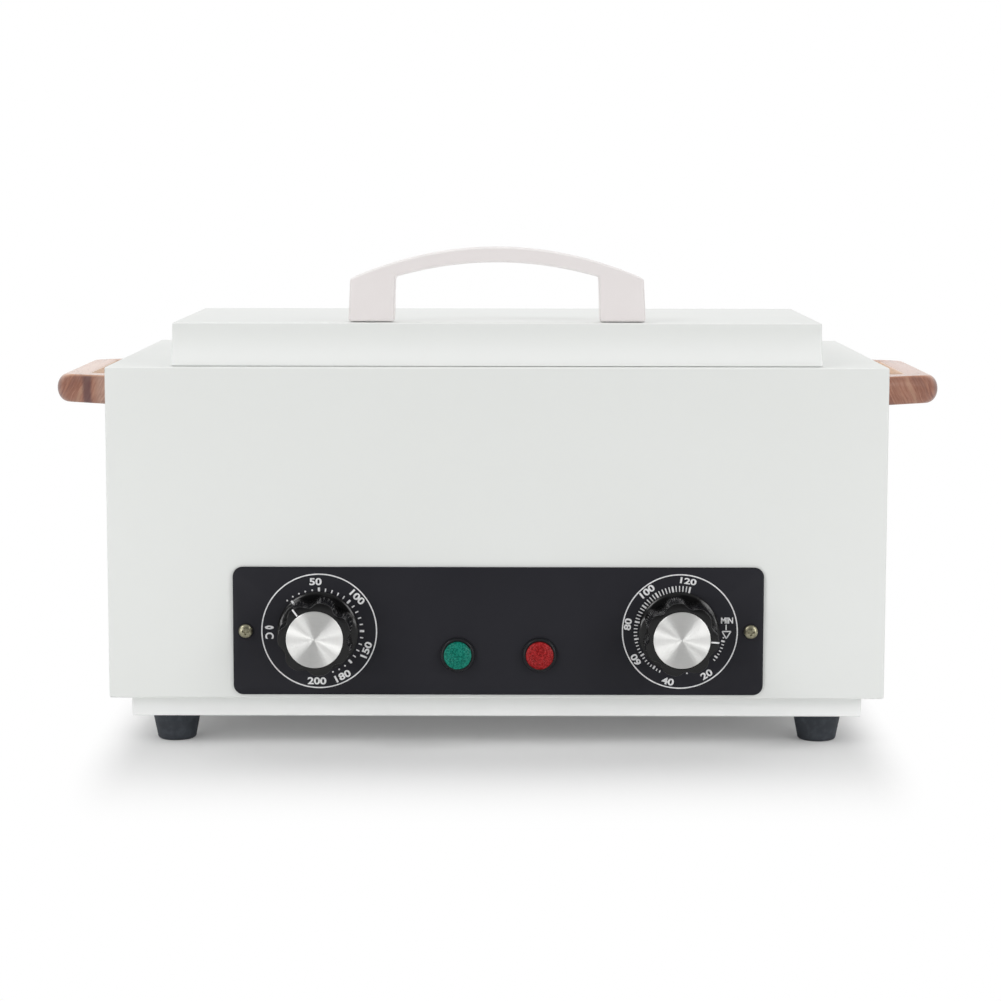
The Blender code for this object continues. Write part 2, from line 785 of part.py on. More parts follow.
def make_feet(finishes):
    """Four tapered rubber feet with a recess for their screws."""
    ease = FOOT_EDGE
    hole = LARGE_SHANK_RADIUS + SCREW_PLAY
    profile = (
        (FOOT_RECESS_RADIUS, 0),
        (FOOT_BOTTOM_RADIUS - ease, 0),
        (FOOT_BOTTOM_RADIUS, ease),
        (FOOT_TOP_RADIUS, FOOT_HEIGHT - ease / 2),
        (FOOT_TOP_RADIUS - ease / 2, FOOT_HEIGHT),
        (hole, FOOT_HEIGHT),
        (hole, FOOT_RECESS_DEPTH),
        (FOOT_RECESS_RADIUS, FOOT_RECESS_DEPTH),
    )
    master = turned("foot", profile, "Z", (0, 0), ROUND, ring_shaped=True)
    finish(master, finishes["foot_rubber"], ROUND_SHADING)
    for name, place in foot_places(0):
        copy_of(master, "foot_" + name, place)
    bpy.data.objects.remove(master, do_unlink=True)
    screw = screw_mesh(
        "foot_screw", LARGE_HEAD_RADIUS, LARGE_HEAD_HEIGHT, LARGE_SHANK_RADIUS, FOOT_SCREW_LENGTH
    )
    seat = FOOT_RECESS_DEPTH - FIT
    place_screws("foot_screw_", screw, foot_places(seat), (0, 0, 0), finishes["zinc_steel"])


def make_base_screws(finishes):
    """Four screws from the plinth flange into the body flange."""
    screw = screw_mesh(
        "base_screw",
        SMALL_HEAD_RADIUS,
        SMALL_HEAD_HEIGHT,
        SMALL_SHANK_RADIUS,
        BASE_SCREW_LENGTH,
        crossed=False,
    )
    seat = PLINTH_TOP - SHEET - FIT
    place_screws("base_screw_", screw, base_screw_places(seat), (0, 0, 0), finishes["zinc_steel"])


# Control panel, dials and lamps


def make_control_panel(finishes):
    """The black front panel with its two screws."""
    outline = rounded(PANEL_WIDTH / 2, PANEL_HEIGHT / 2, PANEL_CORNER, (PANEL_OFFSET, DIAL_Z))
    panel = prism("control_panel", outline, "Y", FRONT_Y - PANEL_FACE, FRONT_Y - FIT)
    cut(panel, *front_holes(FRONT_Y - PANEL_FACE - OVERRUN, FRONT_Y + OVERRUN))
    finish(panel, finishes["panel_black"])
    screw = screw_mesh(
        "panel_screw",
        SMALL_HEAD_RADIUS,
        SMALL_HEAD_HEIGHT,
        SMALL_SHANK_RADIUS,
        PANEL_SCREW_LENGTH,
        ROUND,
    )
    places = panel_screw_places(FRONT_Y - PANEL_FACE - FIT)
    facing_back = (-math.pi / 2, 0, 0)
    place_screws("panel_screw_", screw, places, facing_back, finishes["screw_nickel"])


def d_outline(radius, flat, steps=ROUND_SMALL):
    """A circle with a flat cut from its top."""
    height = radius - flat
    start = math.asin(height / radius)
    return arc((0, 0), radius, math.pi - start, 2 * math.pi + start, steps)


def lobed_ring(radius, dip, y):
    """A ring of wide lobes with narrow notches between, one lobe at the top."""
    ring = []
    count = LOBE_COUNT * POINTS_PER_LOBE
    for index in range(count):
        angle = 2 * math.pi * index / count
        wave = (1 - math.cos(LOBE_COUNT * angle)) / 2
        distance = radius - dip * wave**2
        ring.append(Vector((distance * math.sin(angle), y, distance * math.cos(angle))))
    return ring


def knob_rings():
    """Rings of a knob from its back to the seat of its cap, with Y = 0 at the back."""
    flange = FLANGE_RADIUS
    grip_end = -KNOB_LENGTH
    seat_radius = CAP_RADIUS + FIT
    seat_end = grip_end - CAP_PROUD + CAP_THICKNESS + FIT
    top = -FLANGE_HEIGHT
    rows = (
        (flange - FLANGE_EDGE, 0, 0),
        (flange, 0, -FLANGE_EDGE),
        (flange, 0, top + FLANGE_EDGE),
        (flange - FLANGE_EDGE, 0, top),
        (LOBE_RADIUS, NOTCH_DEPTH, top),
        (LOBE_RADIUS - GRIP_DRAFT, NOTCH_DEPTH, grip_end + GRIP_EDGE),
        (LOBE_RADIUS - GRIP_DRAFT - GRIP_EDGE / 3, NOTCH_DEPTH, grip_end + GRIP_EDGE / 3),
        (LOBE_RADIUS - GRIP_DRAFT - GRIP_EDGE, NOTCH_DEPTH, grip_end),
        (seat_radius, 0, grip_end),
        (seat_radius, 0, seat_end),
    )
    return [lobed_ring(*row) for row in rows]


def make_knob(name, finishes):
    """A skirted knob with its pointer line cut at the top and a bore for its shaft."""
    knob = loft(name, knob_rings())
    reach = SHAFT_IN_KNOB + FIT
    bore = d_outline(SHAFT_RADIUS + FIT, SHAFT_FLAT)
    cut(knob, prism("bore", bore, "Y", -reach, OVERRUN))
    half = POINTER_WIDTH / 2
    face = -KNOB_LENGTH + POINTER_DEPTH
    flange_top = -FLANGE_HEIGHT + POINTER_DEPTH
    side = LOBE_RADIUS - GRIP_DRAFT - POINTER_DEPTH
    far = FLANGE_RADIUS + OVERRUN
    front_line = box("line", (-half, -KNOB_LENGTH - OVERRUN, CAP_RADIUS), (half, face, far))
    side_line = box("line", (-half, -KNOB_LENGTH - OVERRUN, side), (half, -FLANGE_HEIGHT, far))
    flange_line = box("line", (-half, -KNOB_LENGTH, side), (half, flange_top, far))
    cut(knob, front_line, side_line, flange_line)
    return finish(knob, finishes["knob_black"], ROUND_SHADING)


def make_knob_cap(name, finishes):
    """The spun aluminium disc in the face of a knob."""
    face = -KNOB_LENGTH - CAP_PROUD
    back = face + CAP_THICKNESS
    profile = (
        (CAP_RADIUS, back),
        (CAP_RADIUS, face + CAP_EDGE),
        (CAP_RADIUS - CAP_EDGE, face),
    )
    cap = turned(name, profile, "Y", (0, 0), 2 * ROUND)
    return finish(cap, finishes["spun_aluminium"], ROUND_SHADING)


def make_shaft(name, finishes):
    """A steel spindle with a flat, from its control to the inside of the knob."""
    knob_back = PANEL_FACE + KNOB_CLEARANCE
    inner_end = knob_back + SHEET + SHAFT_IN_BODY
    shaft = prism(name, d_outline(SHAFT_RADIUS, SHAFT_FLAT), "Y", -SHAFT_IN_KNOB, inner_end)
    return finish(shaft, finishes["zinc_steel"], ROUND_SHADING)


def make_dial(prefix, x, rest, finishes):
    """A knob, its cap and its shaft, turned to where they stand."""
    pieces = [
        make_knob(prefix + "_knob", finishes),
        make_knob_cap(prefix + "_knob_cap", finishes),
        make_shaft(prefix + "_shaft", finishes),
    ]
    place = (x, FRONT_Y - PANEL_FACE - KNOB_CLEARANCE, DIAL_Z)
    marker = axis_marker(prefix + "_axis", place)
    for item in pieces:
        item.location = place
        item.rotation_euler = (0, rest, 0)
    hang_on(marker, pieces)


def control_bush(x, plate_y):
    """The neck of a control, from its plate to the face of the front panel."""
    return rod("bush", "Y", (x, DIAL_Z), BUSH_RADIUS, FRONT_Y - PANEL_FACE, plate_y + SHEET, ROUND)


def spade(x, z, width, y):
    """A flat terminal that stands back from a control."""
    half = TAB_THICKNESS / 2
    low = (x - half, y - OVERRUN, z - width / 2)
    high = (x + half, y + TAB_LENGTH, z + width / 2)
    return box("tab", low, high)


def shaft_bore(x):
    """Cutter for the blind bore that a shaft turns in."""
    end = INNER_FRONT_Y + SHAFT_IN_BODY + FIT
    radius = SHAFT_RADIUS + FIT
    return rod("bore", "Y", (x, DIAL_Z), radius, FRONT_Y - PANEL_FACE - OVERRUN, end, ROUND)


THERMOSTAT_PLATE_Y = INNER_FRONT_Y + FIT
THERMOSTAT_BACK_Y = THERMOSTAT_PLATE_Y + SHEET + THERMOSTAT_DEPTH
DIAPHRAGM_BACK_Y = THERMOSTAT_BACK_Y + DIAPHRAGM_HEIGHT
TIMER_BACK_Y = THERMOSTAT_PLATE_Y + SHEET + TIMER_DRUM_LENGTH + TIMER_BACK_LENGTH
THERMOSTAT_TAB_Z = DIAL_Z - THERMOSTAT_HEIGHT / 2 + TAB_WIDTH


def make_thermostat_body(finishes):
    """The capillary thermostat: plate, case, diaphragm, neck and terminals."""
    x = THERMOSTAT_X
    plate_outline = rectangle(THERMOSTAT_PLATE_WIDTH / 2, THERMOSTAT_PLATE_HEIGHT / 2, (x, DIAL_Z))
    item = prism("thermostat_body", plate_outline, "Y", THERMOSTAT_PLATE_Y, THERMOSTAT_PLATE_Y + SHEET)
    case_outline = rounded(THERMOSTAT_WIDTH / 2, THERMOSTAT_HEIGHT / 2, PANEL_CORNER, (x, DIAL_Z))
    case = prism("case", case_outline, "Y", THERMOSTAT_PLATE_Y + SHEET / 2, THERMOSTAT_BACK_Y)
    diaphragm = turned(
        "diaphragm",
        (
            (DIAPHRAGM_RADIUS, THERMOSTAT_BACK_Y - OVERRUN),
            (DIAPHRAGM_RADIUS, DIAPHRAGM_BACK_Y - DIAPHRAGM_EDGE),
            (DIAPHRAGM_RADIUS - DIAPHRAGM_EDGE, DIAPHRAGM_BACK_Y),
        ),
        "Y",
        (x, DIAL_Z),
    )
    tabs = [
        spade(x + side * TAB_SPREAD, THERMOSTAT_TAB_Z, TAB_WIDTH, THERMOSTAT_BACK_Y)
        for side in (-1, 1)
    ]
    fuse(item, case, diaphragm, control_bush(x, THERMOSTAT_PLATE_Y), *tabs)
    cut(item, shaft_bore(x))
    return finish(item, finishes["zinc_steel"])


def make_timer_body(finishes):
    """The clockwork timer: plate, gear drum, switch drum, neck and terminals."""
    x = TIMER_X
    middle = (x, DIAL_Z)
    half = TIMER_PLATE / 2
    plate = rounded(half, half, TIMER_CORNER, middle, 2)
    item = prism("timer_body", plate, "Y", THERMOSTAT_PLATE_Y, THERMOSTAT_PLATE_Y + SHEET)
    drum_end = THERMOSTAT_PLATE_Y + SHEET + TIMER_DRUM_LENGTH
    drum = rod("drum", "Y", middle, TIMER_DRUM_RADIUS, THERMOSTAT_PLATE_Y + SHEET / 2, drum_end, ROUND)
    back = rod("back", "Y", middle, TIMER_BACK_RADIUS, drum_end - OVERRUN, TIMER_BACK_Y, ROUND)
    tabs = [spade(x + side * TAB_SPREAD, DIAL_Z, TAB_WIDTH, TIMER_BACK_Y) for side in (-1, 1)]
    fuse(item, drum, back, control_bush(x, THERMOSTAT_PLATE_Y), *tabs)
    cut(item, shaft_bore(x))
    return finish(item, finishes["zinc_steel"])


LAMP_SEAT_Y = FRONT_Y - PANEL_FACE - FIT
LAMP_FACE_Y = LAMP_SEAT_Y - BEZEL_HEIGHT
LAMP_BACK_Y = LAMP_SEAT_Y + BARREL_LENGTH
LENS_SEAT_Y = LAMP_FACE_Y + LENS_SEAT


def make_lamp(colour, x, finishes):
    """A pilot lamp: its holder behind the panel and its domed lens."""
    middle = (x, LAMP_Z)
    ease = BEZEL_EDGE
    pocket_radius = LENS_RADIUS + FIT
    well_radius = LENS_STEM_RADIUS + FIT
    well_end = LENS_SEAT_Y + LENS_STEM_LENGTH + FIT
    holder = turned(
        colour + "_lamp_holder",
        (
            (BARREL_RADIUS, LAMP_BACK_Y),
            (BARREL_RADIUS, LAMP_SEAT_Y),
            (BEZEL_RADIUS, LAMP_SEAT_Y),
            (BEZEL_RADIUS, LAMP_FACE_Y + ease),
            (BEZEL_RADIUS - ease, LAMP_FACE_Y),
            (pocket_radius, LAMP_FACE_Y),
            (pocket_radius, LENS_SEAT_Y),
            (well_radius, LENS_SEAT_Y),
            (well_radius, well_end),
        ),
        "Y",
        middle,
    )
    tabs = [spade(x + side * LAMP_TAB_SPREAD, LAMP_Z, LAMP_TAB_WIDTH, LAMP_BACK_Y) for side in (-1, 1)]
    fuse(holder, *tabs)
    finish(holder, finishes["plastic_black"], ROUND_SHADING)
    base = LENS_SEAT_Y - FIT
    rim_end = LAMP_FACE_Y - LENS_RIM
    rows = [
        (LENS_STEM_RADIUS, LENS_SEAT_Y + LENS_STEM_LENGTH),
        (LENS_STEM_RADIUS, base),
        (LENS_RADIUS, base),
    ]
    crown_steps = 4
    for index in range(crown_steps):
        angle = math.pi / 2 * index / crown_steps
        rows.append((LENS_RADIUS * math.cos(angle), rim_end - LENS_CROWN * math.sin(angle)))
    lens = turned(colour + "_lamp_lens", rows, "Y", middle)
    finish(lens, finishes["lens_" + colour], ROUND_SHADING)


# Tank, heater and insulation


def tank_ring(inset, radius, z):
    """A ring of the tank, drawn in from its outer wall."""
    outline = rounded(TANK_HALF_X - inset, TANK_HALF_Y - inset, radius, (0, TANK_Y))
    return [Vector((x, y, z)) for x, y in outline]


def make_tank(finishes):
    """The stainless tank with a round-edged floor and a flat rim on the body."""
    outer = TANK_CORNER
    inner = TANK_CORNER - THIN_SHEET
    floor = TANK_FLOOR_RADIUS
    inner_floor = floor - THIN_SHEET
    bends = 3
    rings = []
    for index in range(bends + 1):
        angle = math.pi / 2 * index / bends
        inset = floor * (1 - math.sin(angle))
        rings.append(tank_ring(inset, outer - inset, TANK_UNDERSIDE + floor * (1 - math.cos(angle))))
    rings.append(tank_ring(0, outer, RIM_BOTTOM))
    rings.append(tank_ring(-TANK_RIM, outer + TANK_RIM, RIM_BOTTOM))
    rings.append(tank_ring(-TANK_RIM, outer + TANK_RIM, RIM_TOP))
    rings.append(tank_ring(THIN_SHEET, inner, RIM_TOP))
    for index in range(bends, -1, -1):
        angle = math.pi / 2 * index / bends
        inset = inner_floor * (1 - math.sin(angle))
        height = TANK_FLOOR_TOP + inner_floor * (1 - math.cos(angle))
        rings.append(tank_ring(THIN_SHEET + inset, inner - inset, height))
    return finish(loft("tank", rings), finishes["stainless"], ROUND_SHADING)


def make_heater_element(finishes):
    """A sheathed element bent to and fro under the tank, with both ends to the right."""
    tail = SHIELD_OUT_X + HEATER_TAIL
    half = HEATER_PITCH / 2
    rows = [TANK_Y + half * step for step in (-3, -1, 1, 3)]
    left = HEATER_END_GAP - TANK_LENGTH / 2
    points = [(tail, rows[0])]
    points += arc((left, TANK_Y - HEATER_PITCH), half, -math.pi / 2, -3 * math.pi / 2, 8)
    points += arc((-left, TANK_Y), half, -math.pi / 2, math.pi / 2, 8)
    points += arc((left, TANK_Y + HEATER_PITCH), half, -math.pi / 2, -3 * math.pi / 2, 8)
    points.append((tail, rows[3]))
    route = [Vector((x, y, HEATER_Z)) for x, y in points]
    element = tube("heater_element", route, [HEATER_RADIUS] * len(route))
    return finish(element, finishes["heater_sheath"], ROUND_SHADING)


def make_heater_clamp(finishes):
    """The plate that presses the element to the tank."""
    half_x = TANK_LENGTH / 2 - CLAMP_END_GAP
    half_y = TANK_BREADTH / 2 - CLAMP_SIDE_GAP
    outline = rounded(half_x, half_y, CLAMP_EDGE, (0, TANK_Y), 2)
    clamp = prism("heater_clamp", outline, "Z", CLAMP_BOTTOM, CLAMP_TOP)
    return finish(clamp, finishes["stainless"])


def passages(wall_start, wall_end):
    """Cutters for the element's ends, the sensor and the cutout through a wall."""
    tools = []
    for step in (-3, 3):
        middle = (TANK_Y + HEATER_PITCH / 2 * step, HEATER_Z)
        tools.append(rod("pass", "X", middle, HEATER_RADIUS + PASS_PLAY, wall_start, wall_end))
    bulb = BULB_RADIUS + PASS_PLAY
    tools.append(rod("pass", "X", (TANK_Y, HEATER_Z), bulb, -wall_end, -wall_start))
    low = SHIELD_BOTTOM - OVERRUN
    high = JACKET_FLOOR_TOP + OVERRUN
    tools.append(rod("pass", "Z", (0, TANK_Y), CUTOUT_RADIUS + CUTOUT_PLAY, low, high, ROUND))
    return tools


def make_insulation_jacket(finishes):
    """The fibre jacket round the tank."""
    top = BODY_CEILING - FIT
    jacket = box(
        "insulation_jacket",
        (-JACKET_OUT_X, TANK_Y - JACKET_OUT_Y, JACKET_BOTTOM),
        (JACKET_OUT_X, TANK_Y + JACKET_OUT_Y, top),
    )
    hollow = box(
        "hollow",
        (-JACKET_IN_X, TANK_Y - JACKET_IN_Y, JACKET_FLOOR_TOP),
        (JACKET_IN_X, TANK_Y + JACKET_IN_Y, top + OVERRUN),
    )
    cut(jacket, hollow, *passages(JACKET_IN_X - OVERRUN, JACKET_OUT_X + OVERRUN))
    return finish(jacket, finishes["fibre_wool"])


def make_heat_shield(finishes):
    """The sheet case round the jacket, hung from the body top by its end flanges."""
    top = BODY_CEILING - FIT
    shield = box(
        "heat_shield",
        (-SHIELD_OUT_X, TANK_Y - SHIELD_OUT_Y, SHIELD_BOTTOM),
        (SHIELD_OUT_X, TANK_Y + SHIELD_OUT_Y, top),
    )
    flange_end = SHIELD_OUT_X + SHIELD_FLANGE
    flange = box(
        "flange",
        (-flange_end, TANK_Y - JACKET_OUT_Y, top - THIN_SHEET),
        (flange_end, TANK_Y + JACKET_OUT_Y, top),
    )
    fuse(shield, flange)
    room_x = JACKET_OUT_X + FIT
    room_y = JACKET_OUT_Y + FIT
    hollow = box(
        "hollow",
        (-room_x, TANK_Y - room_y, JACKET_BOTTOM - FIT),
        (room_x, TANK_Y + room_y, top + OVERRUN),
    )
    cut(shield, hollow, *passages(room_x - OVERRUN, SHIELD_OUT_X + OVERRUN))
    return finish(shield, finishes["zinc_steel"])


CUTOUT_TOP = CLAMP_BOTTOM - FIT
CUTOUT_LOWER = CUTOUT_TOP - CUTOUT_HEIGHT
CUTOUT_END = CUTOUT_LOWER - CUTOUT_CAP_HEIGHT


def make_thermal_cutout(finishes):
    """The disc cutout under the clamp, with its two terminals."""
    item = rod("thermal_cutout", "Z", (0, TANK_Y), CUTOUT_RADIUS, CUTOUT_LOWER, CUTOUT_TOP, ROUND)
    cap = rod(
        "cap", "Z", (0, TANK_Y), CUTOUT_CAP_RADIUS, CUTOUT_END, CUTOUT_LOWER + OVERRUN, ROUND
    )
    tabs = []
    for side in (-1, 1):
        x = side * CUTOUT_TAB_SPREAD
        half = TAB_THICKNESS / 2
        low = (x - half, TANK_Y - CUTOUT_TAB_WIDTH / 2, CUTOUT_END - TAB_LENGTH)
        high = (x + half, TANK_Y + CUTOUT_TAB_WIDTH / 2, CUTOUT_END + OVERRUN)
        tabs.append(box("tab", low, high))
    fuse(item, cap, *tabs)
    return finish(item, finishes["ceramic_white"], ROUND_SHADING)


def make_capillary_sensor(finishes):
    """The sensor bulb under the tank and its capillary to the thermostat."""
    exit_x = -SHIELD_OUT_X
    bulb_end = exit_x + BULB_SET_IN + INSULATION
    points = [Vector((bulb_end + BULB_LENGTH, TANK_Y, HEATER_Z)), Vector((bulb_end, TANK_Y, HEATER_Z))]
    radii = [BULB_RADIUS, BULB_RADIUS]
    loop = CAPILLARY_LOOP
    middle_y = (TANK_Y + DIAPHRAGM_BACK_Y) / 2
    route = [
        Vector((bulb_end - CAPILLARY_RADIUS, TANK_Y, HEATER_Z)),
        Vector((exit_x - loop, TANK_Y, HEATER_Z)),
        Vector((exit_x - loop, middle_y, DIAL_Z + loop / 2)),
        Vector((THERMOSTAT_X, DIAPHRAGM_BACK_Y + loop, DIAL_Z)),
        Vector((THERMOSTAT_X, DIAPHRAGM_BACK_Y + FIT, DIAL_Z)),
    ]
    line = smooth_route(route, loop)
    points += line
    radii += [CAPILLARY_RADIUS] * len(line)
    sensor = tube("capillary_sensor", points, radii)
    return finish(sensor, finishes["copper"], ROUND_SHADING)


# Mains inlet, terminal block and wiring


def make_power_inlet(finishes):
    """The mains inlet in the back, with its socket and three pins."""
    middle = (INLET_X, INLET_Z)
    outer = BACK_Y + INLET_REACH
    flange = rounded(INLET_FLANGE_WIDTH / 2, INLET_FLANGE_HEIGHT / 2, INLET_CORNER, middle, 3)
    item = prism("power_inlet", flange, "Y", BACK_Y + FIT, outer)
    case_outline = rectangle(INLET_BODY_WIDTH / 2, INLET_BODY_HEIGHT / 2, middle)
    case_end = BACK_Y - INLET_BODY_DEPTH
    fuse(item, prism("case", case_outline, "Y", case_end, BACK_Y + FIT + FIT))
    half_x = SOCKET_WIDTH / 2
    half_z = SOCKET_HEIGHT / 2
    x, z = middle
    socket = (
        (x - half_x, z - half_z),
        (x + half_x, z - half_z),
        (x + half_x, z + half_z - SOCKET_BEVEL),
        (x + half_x - SOCKET_BEVEL, z + half_z),
        (x - half_x + SOCKET_BEVEL, z + half_z),
        (x - half_x, z + half_z - SOCKET_BEVEL),
    )
    socket_end = outer - SOCKET_DEPTH
    cut(item, prism("socket", socket, "Y", socket_end, outer + OVERRUN))
    pins = (
        ("inlet_pin_live", PIN_SPREAD, -PIN_RISE),
        ("inlet_pin_neutral", -PIN_SPREAD, -PIN_RISE),
        ("inlet_pin_earth", 0, PIN_RISE),
    )
    for name, shift, rise in pins:
        place = (x + shift, z + rise)
        slot = rectangle(PIN_WIDTH / 2 + FIT, PIN_HEIGHT / 2 + FIT, place)
        cut(item, prism("slot", slot, "Y", case_end - OVERRUN, socket_end + OVERRUN))
        blade = rectangle(PIN_WIDTH / 2, PIN_HEIGHT / 2, place)
        pin = prism(name, blade, "Y", case_end - PIN_TAIL, outer - PIN_SHY)
        finish(pin, finishes["brass"])
    return finish(item, finishes["plastic_black"])


BLOCK_Y = BACK_Y - BLOCK_SET_BACK
BLOCK_BOTTOM = PLINTH_FLOOR + FIT


def make_terminal_block(finishes):
    """The ceramic terminal block on the floor of the plinth."""
    half_x = BLOCK_WIDTH / 2
    half_y = BLOCK_DEPTH / 2
    top = BLOCK_BOTTOM + BLOCK_HEIGHT
    low = (BLOCK_X - half_x, BLOCK_Y - half_y, BLOCK_BOTTOM)
    block = box("terminal_block", low, (BLOCK_X + half_x, BLOCK_Y + half_y, top))
    soften(block, BLOCK_EDGE, 1)
    for step in (-1, 0, 1):
        place = (BLOCK_X + step * BLOCK_PITCH, BLOCK_Y)
        cut(block, rod("hole", "Z", place, BLOCK_HOLE_RADIUS, top - BLOCK_HOLE_DEPTH, top + OVERRUN))
    return finish(block, finishes["ceramic_white"])


def lead_ends():
    """Where each branch of the wiring ends, along which axis and how far it runs straight."""
    bend = LEAD_BEND
    tab_end = TAB_LENGTH + FIT
    inlet_end = BACK_Y - INLET_BODY_DEPTH - PIN_TAIL - FIT
    block_front = BLOCK_Y - BLOCK_DEPTH / 2 - FIT
    heater_x = SHIELD_OUT_X + HEATER_TAIL + FIT
    thermostat_x = THERMOSTAT_X + TAB_SPREAD
    ends = [
        ("Y", (INLET_X - PIN_SPREAD, inlet_end, INLET_Z - PIN_RISE), -bend),
        ("Y", (BLOCK_X, block_front, BLOCK_BOTTOM + BLOCK_HEIGHT / 2), -bend),
        ("Y", (thermostat_x, THERMOSTAT_BACK_Y + tab_end, THERMOSTAT_TAB_Z), bend),
        ("Y", (TIMER_X + TAB_SPREAD, TIMER_BACK_Y + tab_end, DIAL_Z), bend / 2),
        ("Z", (CUTOUT_TAB_SPREAD, TANK_Y, CUTOUT_END - tab_end), -bend),
        ("X", (heater_x, TANK_Y - HEATER_PITCH * 3 / 2, HEATER_Z), bend),
    ]
    for _, x in lamp_places():
        ends.append(("Y", (x + LAMP_TAB_SPREAD, LAMP_BACK_Y + tab_end, LAMP_Z), bend / 2))
    return ends


def make_wiring_loom(finishes):
    """The sleeved loom on the floor, with a branch to each electrical piece."""
    trunk_y = FRONT_Y + LOOM_SET_BACK
    trunk_z = PLINTH_TOP + LOOM_LIFT
    trunk = [Vector((x, trunk_y, trunk_z)) for x in (THERMOSTAT_X, LOOM_SIDE)]
    loom = tube("wiring_loom", trunk, [LOOM_RADIUS] * len(trunk))
    for axis, end, run in lead_ends():
        before = Vector(end) + on_axis(axis, 0, 0, run)
        start = Vector((min(before.x, LOOM_SIDE - LOOM_RADIUS), trunk_y, trunk_z))
        route = smooth_route([start, before, Vector(end)], LEAD_BEND)
        fuse(loom, tube("lead", route, [LEAD_RADIUS] * len(route)))
    return finish(loom, finishes["wire_sleeve"], ROUND_SHADING)


# Hinges


def knuckle(x_start, x_end):
    """One turned-over knuckle of a hinge leaf."""
    return rod("knuckle", "X", (HINGE_Y, HINGE_Z), KNUCKLE_RADIUS, x_start, x_end)


def leaf_holes(x, axis, across, start, end):
    """Rivet holes of a hinge leaf."""
    places = [(x + side * LEAF_HOLE_SPREAD, across) for side in (-1, 1)]
    return [rod("hole", axis, place, LEAF_HOLE_RADIUS, start, end) for place in places]


def make_hinge(side, x, finishes):
    """A butt hinge: one leaf flat on the body, one on the lid's back, and a pin."""
    half = HINGE_LENGTH / 2
    inner = MIDDLE_KNUCKLE / 2
    bore = HINGE_PIN_RADIUS + FIT
    clear = KNUCKLE_RADIUS + FIT + FIT
    low_z = BODY_TOP + FIT
    body_leaf = box(
        "hinge_body_leaf_" + side,
        (x - half, HINGE_Y + clear, low_z),
        (x + half, HINGE_Y + KNUCKLE_RADIUS + LEAF_WIDTH, low_z + LEAF_THICKNESS),
    )
    for start, end in ((-half, -inner - FIT), (inner + FIT, half)):
        tongue = box(
            "tongue",
            (x + start, HINGE_Y, low_z),
            (x + end, HINGE_Y + clear + OVERRUN, low_z + LEAF_THICKNESS),
        )
        fuse(body_leaf, tongue, knuckle(x + start, x + end))
    hole_y = HINGE_Y + KNUCKLE_RADIUS + LEAF_WIDTH / 2
    cut(body_leaf, *leaf_holes(x, "Z", hole_y, low_z - OVERRUN, low_z + OVERRUN))
    lid_leaf = box(
        "hinge_lid_leaf_" + side,
        (x - half, LID_BACK_Y + FIT, HINGE_Z + clear),
        (x + half, LID_BACK_Y + FIT + LEAF_THICKNESS, HINGE_Z + LEAF_WIDTH),
    )
    tongue = box(
        "tongue",
        (x - inner, LID_BACK_Y + FIT, HINGE_Z),
        (x + inner, LID_BACK_Y + FIT + LEAF_THICKNESS, HINGE_Z + clear + OVERRUN),
    )
    fuse(lid_leaf, tongue, knuckle(x - inner, x + inner))
    hole_z = HINGE_Z + (clear + LEAF_WIDTH) / 2
    cut(lid_leaf, *leaf_holes(x, "Y", hole_z, LID_BACK_Y - OVERRUN, LID_BACK_Y + OVERRUN))
    for leaf in (body_leaf, lid_leaf):
        middle = (HINGE_Y, HINGE_Z)
        cut(leaf, rod("bore", "X", middle, bore, x - half - OVERRUN, x + half + OVERRUN))
        finish(leaf, finishes["zinc_steel"])
    pin = rod("hinge_pin_" + side, "X", (HINGE_Y, HINGE_Z), HINGE_PIN_RADIUS, x - half, x + half)
    finish(pin, finishes["zinc_steel"], ROUND_SHADING)
    return lid_leaf


# Lid


def make_lid_shell(finishes):
    """The folded steel lid, open below."""
    half = LID_WIDTH / 2
    lid = box("lid_shell", (-half, LID_FRONT_Y, LID_BOTTOM), (half, LID_BACK_Y, LID_TOP))
    soften(lid, FOLD_RADIUS)
    hollow = box(
        "hollow",
        (SHEET - half, LID_FRONT_Y + SHEET, LID_BOTTOM - OVERRUN),
        (half - SHEET, LID_BACK_Y - SHEET, LID_CEILING),
    )
    cut(lid, hollow)
    radius = LARGE_SHANK_RADIUS + SCREW_PLAY
    for x in (-ARCH_SCREW_X, ARCH_SCREW_X):
        cut(lid, rod("hole", "Z", (x, ARCH_Y), radius, LID_CEILING - OVERRUN, LID_TOP + OVERRUN))
    return finish(lid, finishes["powder_coat"])


def make_lid_liner(finishes):
    """The stainless liner inside the lid, with its edges turned up."""
    half_x = LID_WIDTH / 2 - SHEET - FIT
    half_y = LID_DEPTH / 2 - SHEET - FIT
    top = LINER_BOTTOM + LINER_TURN_UP
    liner = box("lid_liner", (-half_x, TANK_Y - half_y, LINER_BOTTOM), (half_x, TANK_Y + half_y, top))
    hollow = box(
        "hollow",
        (THIN_SHEET - half_x, TANK_Y - half_y + THIN_SHEET, LINER_BOTTOM + THIN_SHEET),
        (half_x - THIN_SHEET, TANK_Y + half_y - THIN_SHEET, top + OVERRUN),
    )
    cut(liner, hollow)
    return finish(liner, finishes["stainless"])


def make_lid_insulation(finishes):
    """The fibre pad inside the lid, with pockets for the screw heads."""
    half_x = LID_WIDTH / 2 - SHEET - THIN_SHEET - FIT - FIT
    half_y = LID_DEPTH / 2 - SHEET - THIN_SHEET - FIT - FIT
    low = LINER_BOTTOM + THIN_SHEET + FIT
    high = LID_CEILING - FIT
    pad = box("lid_insulation", (-half_x, TANK_Y - half_y, low), (half_x, TANK_Y + half_y, high))
    for x in (-ARCH_SCREW_X, ARCH_SCREW_X):
        cut(pad, rod("pocket", "Z", (x, ARCH_Y), SCREW_POCKET, low - OVERRUN, high + OVERRUN))
    return finish(pad, finishes["fibre_wool"])


